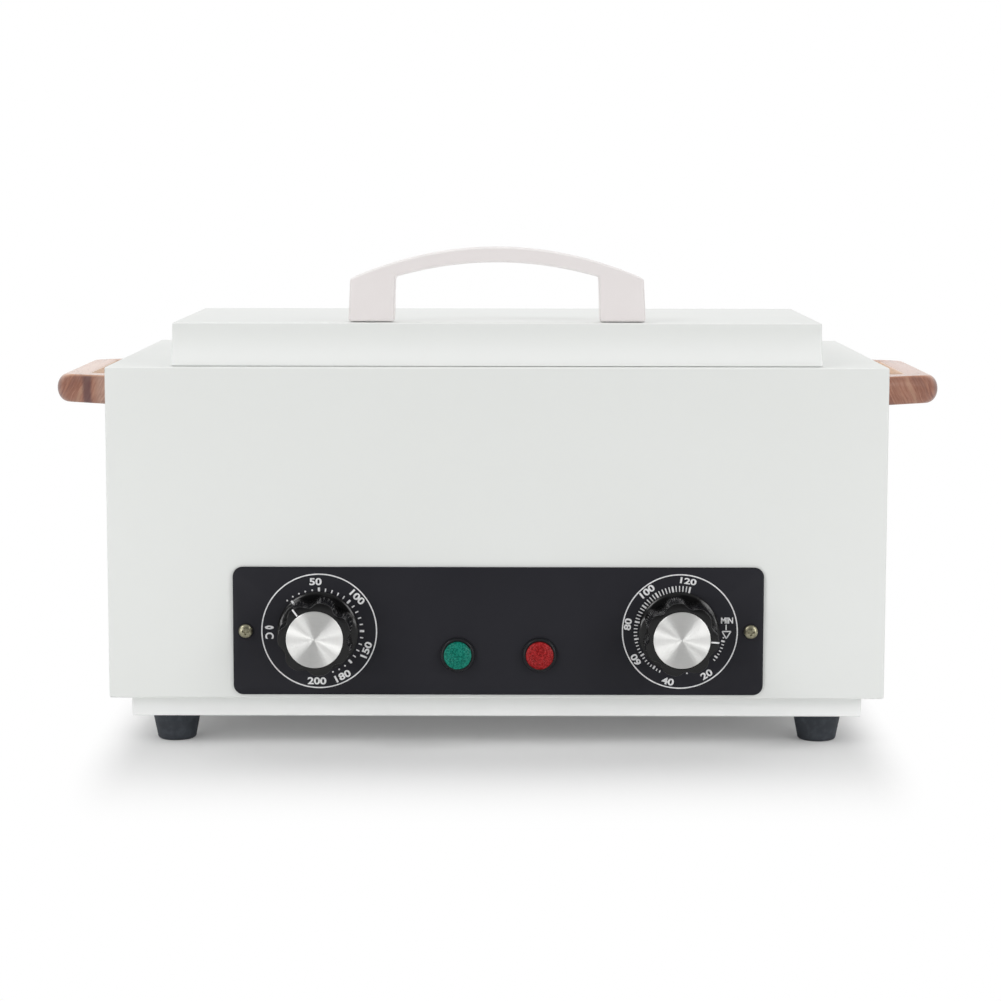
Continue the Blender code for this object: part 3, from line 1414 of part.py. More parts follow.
def parabola(half, low, high, steps):
    """Points of an arch from its right foot over the crown to its left foot."""
    points = []
    for index in range(steps + 1):
        u = half * (1 - 2 * index / steps)
        points.append((u, high - (high - low) * (u / half) ** 2))
    return points


def make_lid_handle(finishes):
    """The arched handle on the lid, with screw holes in its legs."""
    base = LID_TOP + FIT
    foot = ARCH_LENGTH / 2
    shoulder = foot - ARCH_DRAFT
    inner_foot = foot - ARCH_LEG
    inner_shoulder = inner_foot - ARCH_DRAFT / 2
    outline = [(foot, base)]
    outline += parabola(shoulder, LID_TOP + ARCH_SHOULDER, LID_TOP + ARCH_PEAK, ARCH_STEPS)
    outline += [(-foot, base), (-inner_foot, base)]
    under = parabola(
        inner_shoulder, LID_TOP + ARCH_INNER_SHOULDER, LID_TOP + ARCH_INNER_PEAK, ARCH_STEPS
    )
    outline += reversed(under)
    outline += [(inner_foot, base)]
    half = ARCH_THICKNESS / 2
    handle = prism("lid_handle", outline, "Y", ARCH_Y - half, ARCH_Y + half)
    soften(handle, ARCH_EDGE)
    for x in (-ARCH_SCREW_X, ARCH_SCREW_X):
        radius = LARGE_SHANK_RADIUS + SCREW_PLAY
        depth = LID_TOP + LID_SCREW_LENGTH + FIT
        cut(handle, rod("hole", "Z", (x, ARCH_Y), radius, LID_TOP - OVERRUN, depth))
    return finish(handle, finishes["handle_white"], ROUND_SHADING)


def make_lid_screws(finishes):
    """Two screws from inside the lid into its handle."""
    screw = screw_mesh(
        "lid_handle_screw",
        LARGE_HEAD_RADIUS,
        LARGE_HEAD_HEIGHT,
        LARGE_SHANK_RADIUS,
        LID_SCREW_LENGTH,
        crossed=False,
    )
    seat = LID_CEILING - FIT
    places = (("left", (-ARCH_SCREW_X, ARCH_Y, seat)), ("right", (ARCH_SCREW_X, ARCH_Y, seat)))
    return place_screws("lid_handle_screw_", screw, places, (0, 0, 0), finishes["zinc_steel"])


def make_lid(finishes):
    """The lid with all that swings with it."""
    pieces = [
        make_lid_shell(finishes),
        make_lid_liner(finishes),
        make_lid_insulation(finishes),
        make_lid_handle(finishes),
    ]
    pieces += make_lid_screws(finishes)
    for side, sign in (("left", -1), ("right", 1)):
        pieces.append(make_hinge(side, sign * (LID_WIDTH / 2 - HINGE_INSET), finishes))
    marker = axis_marker("lid_hinge_axis", (0, HINGE_Y, HINGE_Z))
    hang_on(marker, pieces)


# Side handles


def side_outline():
    """Plan of a side handle as rows of reach, place along the side, and edge rounding."""
    foot = SIDE_FOOT_LENGTH / 2
    grip = SIDE_GRIP_LENGTH / 2
    corner = SIDE_CORNER
    lean = math.atan2(foot - grip, SIDE_REACH - corner)
    rows = [(FIT, -foot, SIDE_EASE)]
    for u, v in arc((SIDE_REACH - corner, corner - grip), corner, lean - math.pi / 2, 0, 5):
        rows.append((u, v, SIDE_BULGE))
    for u, v in arc((SIDE_REACH - corner, grip - corner), corner, 0, math.pi / 2 - lean, 5):
        rows.append((u, v, SIDE_BULGE))
    rows.append((FIT, foot, SIDE_EASE))
    opening = foot - SIDE_LEG
    inner = SIDE_REACH - SIDE_GRIP
    bend = SIDE_INNER_CORNER
    rows.append((FIT, opening, SIDE_EASE))
    for u, v in arc((inner - bend, opening - bend), bend, math.pi / 2, 0, 4):
        rows.append((u, v, SIDE_EASE))
    for u, v in arc((inner - bend, bend - opening), bend, 0, -math.pi / 2, 4):
        rows.append((u, v, SIDE_EASE))
    rows.append((FIT, -opening, SIDE_EASE))
    return rows


def inward(rows):
    """Unit directions that point into a closed plan, one for each of its rows."""
    result = []
    count = len(rows)
    for index in range(count):
        before = rows[index - 1]
        after = rows[(index + 1) % count]
        along = Vector((after[0] - before[0], after[1] - before[1])).normalized()
        result.append(Vector((-along.y, along.x)))
    return result


def make_side_handle(name, sign, finishes):
    """A wooden side handle with a bulged grip and two screw holes."""
    rows = side_outline()
    insides = inward(rows)
    rings = []
    for level in range(SIDE_LEVELS + 1):
        tilt = -math.pi / 2 + math.pi * level / SIDE_LEVELS
        z = SIDE_Z + SIDE_HEIGHT / 2 * math.sin(tilt)
        ring = []
        for (reach, along, rounding), inside in zip(rows, insides):
            draw = rounding * (1 - math.cos(tilt))
            u = max(reach + inside.x * draw, FIT)
            v = along + inside.y * draw
            ring.append(Vector((sign * (BODY_SIDE + u), SIDE_Y + v, z)))
        rings.append(ring)
    handle = loft(name, rings)
    half = SIDE_FOOT_LENGTH / 2 - SIDE_SCREW_INSET
    for y in (SIDE_Y - half, SIDE_Y + half):
        radius = LARGE_SHANK_RADIUS + SCREW_PLAY
        near = sign * (BODY_SIDE - OVERRUN)
        far = sign * (BODY_SIDE + SIDE_SCREW_LENGTH + FIT)
        cut(handle, rod("hole", "X", (y, SIDE_Z), radius, near, far))
    return finish(handle, finishes["walnut"], ROUND_SHADING)


def make_side_handles(finishes):
    """Both side handles and the four screws that hold them from inside."""
    screw = screw_mesh(
        "side_screw",
        LARGE_HEAD_RADIUS,
        LARGE_HEAD_HEIGHT,
        LARGE_SHANK_RADIUS,
        SIDE_SCREW_LENGTH,
        crossed=False,
    )
    finish(screw, finishes["zinc_steel"], ROUND_SHADING)
    seat = BODY_SIDE - SHEET - FIT
    for name, place in side_screw_places(seat, SIDE_Z):
        turn = math.copysign(math.pi / 2, place[0])
        copy_of(screw, "side_handle_screw_" + name, place, (0, turn, 0))
    bpy.data.objects.remove(screw, do_unlink=True)
    make_side_handle("side_handle_left", -1, finishes)
    make_side_handle("side_handle_right", 1, finishes)


def main():
    """Build the whole sterilizer."""
    clear_scene()
    finishes = make_finishes()
    make_body_shell(finishes)
    make_base_plate(finishes)
    make_feet(finishes)
    make_base_screws(finishes)
    make_control_panel(finishes)
    make_thermostat_body(finishes)
    make_timer_body(finishes)
    make_dial("thermostat", THERMOSTAT_X, THERMOSTAT_REST, finishes)
    make_dial("timer", TIMER_X, TIMER_REST, finishes)
    for colour, x in lamp_places():
        make_lamp(colour, x, finishes)
    make_tank(finishes)
    make_heater_element(finishes)
    make_heater_clamp(finishes)
    make_insulation_jacket(finishes)
    make_heat_shield(finishes)
    make_thermal_cutout(finishes)
    make_capillary_sensor(finishes)
    make_power_inlet(finishes)
    make_terminal_block(finishes)
    make_wiring_loom(finishes)
    make_lid(finishes)
    make_side_handles(finishes)


main()
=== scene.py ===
"""Studio scene of a benchtop dry heat sterilizer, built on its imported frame."""

import json
import math

import bmesh
import bpy
from mathutils import Matrix, Vector


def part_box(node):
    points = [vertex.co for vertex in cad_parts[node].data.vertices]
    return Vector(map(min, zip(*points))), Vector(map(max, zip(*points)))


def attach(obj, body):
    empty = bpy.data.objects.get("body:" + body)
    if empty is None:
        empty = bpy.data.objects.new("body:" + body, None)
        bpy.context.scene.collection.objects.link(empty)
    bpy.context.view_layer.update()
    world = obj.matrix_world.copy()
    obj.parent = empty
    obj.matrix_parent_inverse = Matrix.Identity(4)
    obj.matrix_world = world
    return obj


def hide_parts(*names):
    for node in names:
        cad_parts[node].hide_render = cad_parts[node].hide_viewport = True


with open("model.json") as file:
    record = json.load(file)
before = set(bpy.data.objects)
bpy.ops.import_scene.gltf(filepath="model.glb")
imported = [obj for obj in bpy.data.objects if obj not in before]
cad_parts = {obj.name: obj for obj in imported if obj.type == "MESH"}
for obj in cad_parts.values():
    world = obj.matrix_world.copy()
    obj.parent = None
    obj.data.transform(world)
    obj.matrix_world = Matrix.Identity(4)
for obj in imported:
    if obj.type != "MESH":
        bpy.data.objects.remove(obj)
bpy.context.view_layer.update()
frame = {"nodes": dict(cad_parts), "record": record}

MM = 0.001
FIT = 0.3 * MM
SHEET = 1.0 * MM
THIN_SHEET = 0.8 * MM
OVERRUN = 2 * MM
FOLD = 0.9 * MM
LID_FLARE = 0.6 * MM
LID_FRONT_FLARE = 1.3 * MM
SCREW_HOLE = 2.3 * MM
SIDES = {"left": -1, "right": 1}

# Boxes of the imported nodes, from which the new pieces take their places

BODY_LOW, BODY_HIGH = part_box("body_shell")
PLINTH_LOW, PLINTH_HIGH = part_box("base_plate")
LID_LOW, LID_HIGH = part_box("lid_shell")
PANEL_LOW, PANEL_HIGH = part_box("control_panel")
TANK_LOW, TANK_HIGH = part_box("tank")
ARCH_LOW, ARCH_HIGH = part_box("lid_handle")

FRONT_Y = BODY_LOW.y
BACK_Y = BODY_HIGH.y
BODY_SIDE = BODY_HIGH.x
BODY_BOTTOM = BODY_LOW.z
BODY_TOP = BODY_HIGH.z
LID_TOP = LID_HIGH.z
PANEL_Y = PANEL_LOW.y
DIAL_Z = (PANEL_LOW.z + PANEL_HIGH.z) / 2
THERMOSTAT_X = -75.7 * MM
TIMER_X = 77.3 * MM
KNOB_Y = PANEL_Y - 0.7 * MM
# Each knob's place across the front, and its turn at rest
DIALS = {
    "thermostat": (THERMOSTAT_X, math.radians(-36)),
    "timer": (TIMER_X, math.radians(94)),
}
LAMPS = {"green": -16.5 * MM, "red": 18.3 * MM}
LAMP_Z = DIAL_Z - 10.0 * MM
PANEL_MIDDLE = (PANEL_LOW.x + PANEL_HIGH.x) / 2
PANEL_SCREWS = {side: PANEL_MIDDLE + sign * 107.1 * MM for side, sign in SIDES.items()}
FOOT_PLACES = {
    f"{row}_{side}": (sign * 139.6 * MM, y)
    for row, y in (("front", -56.0 * MM), ("back", 78.0 * MM))
    for side, sign in SIDES.items()
}
TANK_Y = (TANK_LOW.y + TANK_HIGH.y) / 2
INLET = (100.0 * MM, 50.6 * MM)
ARCH_Y = (ARCH_LOW.y + ARCH_HIGH.y) / 2
ARCH_SCREWS = (-53.0 * MM, 53.0 * MM)
SIDE_Y = 14.0 * MM
SIDE_Z = 151.15 * MM
SIDE_SCREWS = (-34.0 * MM, 62.0 * MM)
HINGE_Y = 50.0 * MM
HINGE_Z = BODY_TOP + 2.7 * MM


def add_object(name, data):
    """A new object in the scene."""
    item = bpy.data.objects.new(name, data)
    bpy.context.scene.collection.objects.link(item)
    return item


# Camera, made first


def make_camera():
    """The camera at the photograph's viewing angle."""
    lens = bpy.data.cameras.new("camera")
    lens.lens = 98.54
    lens.sensor_width = 36
    lens.clip_start = 0.01
    camera = add_object("camera", lens)
    camera.location = (0.0051, -1.2330, 0.2443)
    camera.rotation_euler = (math.pi / 2 - 0.1184, -0.0013, 0.0032)
    bpy.context.scene.camera = camera


# Shader nodes


class Signal:
    """One output of a shader node, on which ordinary arithmetic works."""

    def __init__(self, finish, socket):
        self.finish = finish
        self.socket = socket

    def __add__(self, other):
        return self.finish.maths("ADD", self, other)

    def __sub__(self, other):
        return self.finish.maths("SUBTRACT", self, other)

    def __mul__(self, other):
        return self.finish.maths("MULTIPLY", self, other)

    def __pow__(self, other):
        return self.finish.maths("POWER", self, other)

    def __gt__(self, other):
        return self.finish.maths("GREATER_THAN", self, other)

    def __lt__(self, other):
        return self.finish.maths("LESS_THAN", self, other)

    def __rsub__(self, other):
        return self.finish.maths("SUBTRACT", other, self)

    __radd__ = __add__
    __rmul__ = __mul__


class Finish:
    """A node material and the few ways in which its nodes are made."""

    def __init__(self, name, world=False):
        kept_in = bpy.data.worlds if world else bpy.data.materials
        self.data = kept_in.new(name)
        self.data.use_nodes = True
        self.tree = self.data.node_tree
        self.tree.nodes.clear()
        self.spot = None

    def node(self, kind, settings=None, **sockets):
        """Add a node, set it up, and then feed its inputs."""
        made = self.tree.nodes.new("ShaderNode" + kind)
        for key, value in (settings or {}).items():
            setattr(made, key, value)
        for key, value in sockets.items():
            self.feed(made.inputs[key.replace("_", " ")], value)
        return made

    def feed(self, socket, value):
        """Link a signal to an input, or write a constant on it."""
        if isinstance(value, Signal):
            self.tree.links.new(value.socket, socket)
        else:
            socket.default_value = value

    def signal(self, made, output=0):
        return Signal(self, made.outputs[output])

    def maths(self, operation, *values):
        made = self.node("Math", {"operation": operation})
        for socket, value in zip(made.inputs, values):
            self.feed(socket, value)
        return self.signal(made)

    def place(self):
        """The point on the piece, in metres."""
        if self.spot is None:
            self.spot = self.signal(self.node("TexCoord"), "Object")
        return self.spot

    def facing(self):
        """The direction that the surface faces, on the piece's own axes."""
        return self.signal(self.node("TexCoord"), "Normal")

    def folds(self):
        """Share of painted highlight: 1 on the round folds between upright and level faces, 0 on the
        faces.
        """
        _, _, z = self.apart(self.facing())
        return self.ramp(z * z * (1.0 - z * z), 0.05, 0.22)

    def apart(self, vector=None):
        made = self.node("SeparateXYZ", Vector=vector or self.place())
        return [self.signal(made, index) for index in range(3)]

    def joined(self, x, y, z):
        return self.signal(self.node("CombineXYZ", X=x, Y=y, Z=z))

    def scaled(self, factors):
        """The point on the piece with each axis stretched by its own factor."""
        made = self.node("VectorMath", {"operation": "MULTIPLY"})
        self.feed(made.inputs[0], self.place())
        self.feed(made.inputs[1], factors)
        return self.signal(made)

    def noise(self, scale, detail=2.0, vector=None, roughness=0.5, distortion=0.0):
        """Smooth noise between about 0 and 1; the scale is in cycles a metre."""
        made = self.node("TexNoise", Vector=vector or self.place(), Scale=scale, Detail=detail)
        self.feed(made.inputs["Roughness"], roughness)
        self.feed(made.inputs["Distortion"], distortion)
        return self.signal(made)

    def cells(self, scale):
        return self.signal(self.node("TexVoronoi", Vector=self.place(), Scale=scale))

    def ramp(self, value, low, high, start=0.0, end=1.0):
        """Rise smoothly from start to end while the value goes from low to high."""
        made = self.node("MapRange", {"interpolation_type": "SMOOTHSTEP"})
        for socket, item in zip(made.inputs, (value, low, high, start, end)):
            self.feed(socket, item)
        return self.signal(made)

    def blend(self, share, first, second):
        """Mix two colours by a share."""
        made = self.node("Mix", {"data_type": "RGBA"})
        self.feed(made.inputs["Factor"], share)
        for socket, value in zip([s for s in made.inputs if s.type == "RGBA"], (first, second)):
            self.feed(socket, colour(value) if isinstance(value, tuple) else value)
        return Signal(self, [s for s in made.outputs if s.type == "RGBA"][0])

    def bump(self, height, depth, strength=0.5):
        """Small relief whose depth is in millimetres."""
        return self.signal(self.node("Bump", Height=height, Distance=depth * MM, Strength=strength))

    def shine(self, tone, roughness, normal, **more):
        """The Principled shader and the output that it feeds."""
        more.update(Base_Color=tone, Roughness=roughness, Normal=normal)
        shader = self.node("BsdfPrincipled", **more)
        self.node("OutputMaterial", Surface=self.signal(shader))
        return self.data

    def rays(self):
        """Whether a ray comes from the camera, and whether from a shiny or clear surface."""
        path = self.node("LightPath")
        clear = self.signal(path, "Is Glossy Ray") + self.signal(path, "Is Transmission Ray")
        return self.signal(path, "Is Camera Ray"), clear

    def mixed_output(self, kind, share, first, second):
        """An output that goes from the first shader to the second by a share."""
        mixed = self.node("MixShader", Fac=share)
        self.feed(mixed.inputs[1], self.signal(first))
        self.feed(mixed.inputs[2], self.signal(second))
        self.node(kind, Surface=self.signal(mixed))


def colour(value):
    """A colour written in screen values from 0 to 255, as a linear one."""
    parts = []
    for part in value:
        share = part / 255
        parts.append(share / 12.92 if share < 0.04045 else ((share + 0.055) / 1.055) ** 2.4)
    return (*parts, 1.0)


# Finishes


def powder_coat(name, high=0.0, low=0.0, painted_light_share=0.0):
    """White powder coat with fine orange peel, a painted highlight on its folds, and painted light that
    whitens it from high down to low.
    """
    f = Finish(name)
    slow = f.noise(9, 3)
    fine = f.noise(1500, 2)
    peel = f.noise(700, 1)
    tone = f.blend(slow, (229, 231, 228), (232, 234, 232))
    tone = f.blend(f.ramp(fine, 0.62, 0.8, 0, 0.25), tone, (222, 223, 221))
    # Painted highlight: the round folds are whitened
    tone = f.blend(f.folds() * 0.6, tone, (250, 250, 249))
    # Painted light: a height gradient whitens the coat from high down to low
    if painted_light_share:
        _, _, z = f.apart()
        tone = f.blend(f.ramp(z, high, low, 0.0, painted_light_share), tone, (253, 254, 253))
    height = f.bump(peel + fine * 0.3, 0.012)
    return f.shine(tone, 0.34 + 0.08 * f.noise(40, 2), height, Specular_IOR_Level=0.45)


def panel_black(name):
    """Screen-printed black enamel on the panel, faintly grained."""
    f = Finish(name)
    cloud = f.noise(30, 4)
    grain = f.noise(2200, 2)
    tone = f.blend(cloud, (36, 36, 41), (40, 40, 45))
    return f.shine(tone, 0.40 + 0.12 * cloud, f.bump(grain, 0.008), Specular_IOR_Level=0.13)


def knob_black(name):
    """Polished black phenolic with a few soft rubs."""
    f = Finish(name)
    rubs = f.noise(1.0, 3, f.scaled((120, 500, 120)))
    dust = f.ramp(f.noise(2600, 1), 0.70, 0.78)
    tone = f.blend(dust * 0.25, (6, 6, 7), (50, 50, 52))
    gloss = f.ramp(rubs, 0.35, 0.8, 0.18, 0.26)
    return f.shine(tone, gloss, f.bump(rubs, 0.0004, 0.4), Specular_IOR_Level=0.4)


def spun_aluminium(name):
    """Turned aluminium with fine tool rings, which spread its sheen into wedges."""
    f = Finish(name)
    x, y, _ = f.apart()
    haze = f.noise(160, 3)
    reach = (x * x + y * y) ** 0.5
    rings = f.noise(2600, 2, f.joined(reach, 0.0, 0.0))
    tone = f.blend(rings, (240, 240, 238), (254, 254, 252))
    return f.shine(
        tone,
        0.46 + 0.05 * haze,
        f.bump(rings, 0.002, 0.3),
        Metallic=1.0,
        Anisotropic=0.95,
        Anisotropic_Rotation=0.25,
    )


def foot_rubber(name):
    """Moulded slate-grey rubber with a matt, faintly dusty skin."""
    f = Finish(name)
    dust = f.noise(350, 4)
    grain = f.cells(2400)
    tone = f.blend(f.ramp(dust, 0.4, 0.75), (53, 57, 63), (65, 69, 75))
    return f.shine(tone, 0.55 + 0.15 * dust, f.bump(grain, 0.02, 0.6), Specular_IOR_Level=0.3)


def walnut(name):
    """Varnished walnut with slanting dark bands and fine open grain, with a painted sheen on its tops,
    painted light on the grip's inner faces and painted shade on its outer ends.
    """
    f = Finish(name)
    x, y, z = f.apart()
    aside = (x * x) ** 0.5
    slant = aside + 0.45 * z - 0.12 * y
    wander = 0.004 * f.noise(70, 2)
    along = f.joined(slant + wander, 0.04 * y, 0.1 * z)
    bands = f.noise(170, 3, along, 0.55)
    lines = f.noise(1500, 3, along, 0.6)
    pores = f.ramp(f.noise(1.0, 2, f.scaled((3000, 160, 1500))), 0.60, 0.74)
    dark = f.ramp(bands, 0.50, 0.66)
    pale = f.ramp(bands, 0.47, 0.33)
    tone = f.blend(f.ramp(lines, 0.3, 0.7), (147, 100, 84), (174, 127, 108))
    tone = f.blend(pale * 0.6, tone, (186, 148, 126))
    tone = f.blend(dark * 0.75, tone, (98, 66, 68))
    # The left handle's dark streak and pale root, then painted shade on the rounded outer ends of both
    streak = x + 178.4 * MM + 0.25 * wander
    band = f.ramp((streak * streak) ** 0.5, 1.0 * MM, 3.0 * MM, 1.0, 0.0)
    tone = f.blend(band * 0.8, tone, (92, 64, 70))
    root = f.ramp(x, -176.5 * MM, -172.5 * MM) * (x < 0.0)
    tone = f.blend(root * 0.45 * (lines + 0.3), tone, (206, 182, 168))
    # Painted shade: the outermost few millimetres of each handle are darkened
    nose_painted_shade = f.ramp(aside, 190.0 * MM, 193.3 * MM)
    tone = f.blend(nose_painted_shade * 0.6, tone, (84, 58, 60))
    tone = f.blend(pores * 0.4, tone, (84, 52, 42))
    across, front, up = f.apart(f.facing())
    # Painted sheen: faces that look up take a pale cream tone, paler on the left handle than on the
    # right, in place of the varnish's reflection
    painted_top_sheen = f.blend(x > 0.0, (222, 168, 134), (192, 128, 92))
    painted_top_sheen = f.blend(dark * 0.55 + f.ramp(lines, 0.45, 0.75, 0.0, 0.3), painted_top_sheen, (150, 92, 66))
    tone = f.blend(f.ramp(up, 0.55, 0.95, 0.0, 0.85), tone, painted_top_sheen)
    # Painted light: the grip's inner faces, which turn towards the body, take a pale tone
    inside_painted_light = (across * x < -0.02) + (front * (y - SIDE_Y) < -0.006)
    tone = f.blend(inside_painted_light * (up * up < 0.5), tone, (240, 206, 182))
    return f.shine(
        tone,
        0.30 + 0.12 * lines,
        f.bump(lines * 0.5 - pores, 0.02),
        Coat_Weight=f.ramp(up, 0.3, 0.9, 0.2, 0.75),
        Specular_IOR_Level=0.35,
        Coat_Roughness=0.16,
        Specular_Tint=(1.0, 0.80, 0.64, 1.0),
    )


def handle_white(name):
    """Moulded plastic in a warm white."""
    f = Finish(name)
    cloud = f.noise(45, 3)
    grain = f.noise(1900, 2)
    tone = f.blend(cloud, (233, 227, 226), (237, 232, 231))
    # Painted highlight: the round edges of the handle are whitened
    tone = f.blend(f.folds() * 0.5, tone, (251, 248, 247))
    return f.shine(tone, 0.30 + 0.12 * cloud, f.bump(grain, 0.01))


def lens_plastic(name, deep, light):
    """Tinted plastic, faintly cloudy."""
    f = Finish(name)
    cloud = f.noise(1300, 3)
    tone = f.blend(f.ramp(cloud, 0.35, 0.65), deep, light)
    return f.shine(tone, 0.16 + 0.10 * cloud, f.bump(cloud, 0.01, 0.4), Specular_IOR_Level=0.12)


def brushed_metal(name, first, second, stretch, roughness, depth=0.01):
    """Drawn or rolled metal with its lines along the least stretched axis."""
    f = Finish(name)
    lines = f.noise(1.0, 3, f.scaled(stretch), 0.6)
    cloud = f.noise(60, 3)
    tone = f.blend(lines, first, second)
    tone = f.blend(f.ramp(cloud, 0.5, 0.8) * 0.25, tone, first)
    return f.shine(tone, roughness + 0.14 * lines, f.bump(lines, depth, 0.6), Metallic=1.0)


def heater_sheath(name):
    """Drawn heater tube with straw and blue heat tints."""
    f = Finish(name)
    heat = f.noise(45, 3)
    tone = f.blend(f.ramp(heat, 0.35, 0.55), (108, 104, 98), (124, 100, 70))
    tone = f.blend(f.ramp(heat, 0.55, 0.75), tone, (78, 82, 100))
    scale = f.bump(f.noise(1500, 3), 0.02)
    return f.shine(tone, 0.38 + 0.2 * f.noise(900, 2), scale, Metallic=1.0)


def zinc_steel(name):
    """Zinc-plated steel with its faint crystals."""
    f = Finish(name)
    crystals = f.cells(420)
    fine = f.noise(2500, 2)
    tone = f.blend(crystals, (176, 178, 182), (200, 202, 204))
    return f.shine(tone, 0.28 + 0.16 * crystals, f.bump(fine, 0.008), Metallic=1.0)


def fibre_wool(name):
    """Pressed mineral fibre: a tangle of short strands."""
    f = Finish(name)
    strands = f.noise(1.0, 5, f.scaled((900, 260, 520)), 0.7, 2.0)
    tufts = f.noise(140, 4)
    tone = f.blend(strands, (206, 196, 170), (236, 230, 214))
    tone = f.blend(f.ramp(tufts, 0.55, 0.8) * 0.4, tone, (190, 176, 146))
    return f.shine(tone, 0.92 + 0.06 * strands, f.bump(strands + tufts, 0.35, 0.8))


def ceramic_white(name):
    """Unglazed steatite with fine specks."""
    f = Finish(name)
    specks = f.ramp(f.noise(2100, 2), 0.66, 0.74)
    tone = f.blend(specks * 0.5, (228, 224, 212), (168, 160, 144))
    return f.shine(tone, 0.42 + 0.2 * f.noise(300, 3), f.bump(f.noise(900, 4), 0.03))


def plastic_black(name):
    """Spark-eroded black nylon."""
    f = Finish(name)
    grain = f.cells(3000)
    cloud = f.noise(80, 3)
    tone = f.blend(cloud, (18, 20, 22), (28, 30, 33))
    gloss = 0.22 + 0.14 * cloud
    return f.shine(tone, gloss, f.bump(grain, 0.004), Specular_IOR_Level=0.3)


def wire_sleeve(name):
    """Braided glass-fibre sleeving."""
    f = Finish(name)
    x, y, z = f.apart()
    first = f.maths("SINE", (x + y + z) * 5200)
    second = f.maths("SINE", (x - y - z) * 5200)
    braid = first * second
    tone = f.blend(0.5 + 0.5 * braid, (172, 164, 142), (222, 216, 198))
    return f.shine(tone, 0.7 + 0.15 * f.noise(600, 2), f.bump(braid, 0.12, 0.8))


def dial_print(name):
    """Screen ink, a little thin and soft at its edges."""
    f = Finish(name)
    thin = f.noise(1800, 3)
    tone = f.blend(f.ramp(thin, 0.35, 0.7), (214, 214, 216), (240, 240, 240))
    return f.shine(tone, 0.5 + 0.12 * thin, f.bump(thin, 0.01, 0.4))


def make_finishes():
    """Every finish of the record, by the name of its slot."""
    single = [panel_black, knob_black, spun_aluminium, foot_rubber, walnut, handle_white]
    single += [heater_sheath, zinc_steel, fibre_wool, ceramic_white, plastic_black]
    single += [wire_sleeve, dial_print]
    coats = {
        "powder_coat": (),
        # The plinth's copy: its top kept at the coat's tone as painted shade under the body, whitened
        # lower down as painted light
        "plinth_coat_painted_shade": (PLINTH_HIGH.z, 17.0 * MM, 1.0),
        # The lid's copy: painted light that whitens its walls towards the lower edge
        "lid_coat_painted_light": (LID_TOP - FOLD, LID_LOW.z, 0.6),
    }
    lenses = {
        "lens_green": ((0, 92, 78), (30, 130, 112)),
        "lens_red": ((118, 14, 16), (168, 44, 46)),
    }
    metals = {
        "screw_nickel": ((132, 128, 108), (178, 174, 150), (900, 900, 60), 0.30),
        "stainless": ((186, 186, 182), (208, 208, 204), (12, 900, 900), 0.20, 0.004),
        "copper": ((196, 122, 88), (222, 150, 112), (300, 300, 300), 0.26),
        "brass": ((196, 166, 96), (224, 196, 128), (900, 30, 900), 0.22),
    }
    finishes = {maker.__name__: maker(maker.__name__) for maker in single}
    for maker, table in ((powder_coat, coats), (lens_plastic, lenses), (brushed_metal, metals)):
        for name, values in table.items():
            finishes[name] = maker(name, *values)
    return finishes


FINISHES = make_finishes()


def dress_packed_nodes():
    """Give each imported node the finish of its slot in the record."""
    for entry in frame["record"]["materials"]:
        for name in entry.get("nodes", []):
            item = frame["nodes"][name]
            for slot in item.material_slots:
                slot.material = FINISHES[entry["slot"]]


# Building blocks


def as_piece(name, maker):
    """Link a new object whose mesh comes from a bmesh with outward faces."""
    bmesh.ops.recalc_face_normals(maker, faces=maker.faces)
    mesh = bpy.data.meshes.new(name)
    maker.to_mesh(mesh)
    maker.free()
    return add_object(name, mesh)


def on_axis(axis, across, up, along):
    """A point of a flat outline on a plane square to the axis."""
    point = [across, up]
    point.insert("XYZ".index(axis), along)
    return Vector(point)


def add_loft(maker, rings, ring_shaped=False):
    """Skin a row of rings that have the same number of points."""
    rows = [[maker.verts.new(point) for point in ring] for ring in rings]
    count = len(rows[0])
    pairs = list(zip(rows, rows[1:]))
    if ring_shaped:
        pairs.append((rows[-1], rows[0]))
    else:
        maker.faces.new(rows[0])
        maker.faces.new(rows[-1])
    for lower, upper in pairs:
        for index in range(count):
            following = (index + 1) % count
            maker.faces.new((lower[index], lower[following], upper[following], upper[index]))


def loft(name, rings, ring_shaped=False):
    maker = bmesh.new()
    add_loft(maker, rings, ring_shaped)
    return as_piece(name, maker)


def prism(name, outline, axis, start, end):
    """Extrude a flat outline along an axis."""
    return loft(name, [[on_axis(axis, u, v, along) for u, v in outline] for along in (start, end)])


def block(name, low, high):
    """A block between two corners."""
    outline = ((low[0], low[1]), (high[0], low[1]), (high[0], high[1]), (low[0], high[1]))
    return prism(name, outline, "Z", low[2], high[2])


def cutter(low, high, inset, start, end):
    """A block set in from the sides of a box, from one height to another."""
    return block("cutter", (low.x + inset, low.y + inset, start), (high.x - inset, high.y - inset, end))


def arc(middle, radius, start, end, steps):
    """Points of an arc in a plane, both ends included."""
    angles = [start + (end - start) * index / steps for index in range(steps + 1)]
    return [(middle[0] + radius * math.cos(a), middle[1] + radius * math.sin(a)) for a in angles]


def circle(radius, steps, middle=(0, 0)):
    return arc(middle, radius, 0, 2 * math.pi, steps)[:-1]


def rod(name, axis, middle, radius, start, end, steps=32):
    return prism(name, circle(radius, steps, middle), axis, start, end)


def metres(rows, start=0.0):
    """Rows of radius and distance in millimetres, as metres from a start."""
    return [(radius * MM, start + along * MM) for radius, along in rows]


def turned_rings(profile, axis, middle, steps):
    """Rings about an axis from rows of radius and distance along it."""
    rings = []
    for radius, along in profile:
        rings.append([on_axis(axis, u, v, along) for u, v in circle(radius, steps, middle)])
    return rings


def turned(name, profile, axis, middle, steps=64, ring_shaped=False):
    return loft(name, turned_rings(profile, axis, middle, steps), ring_shaped)


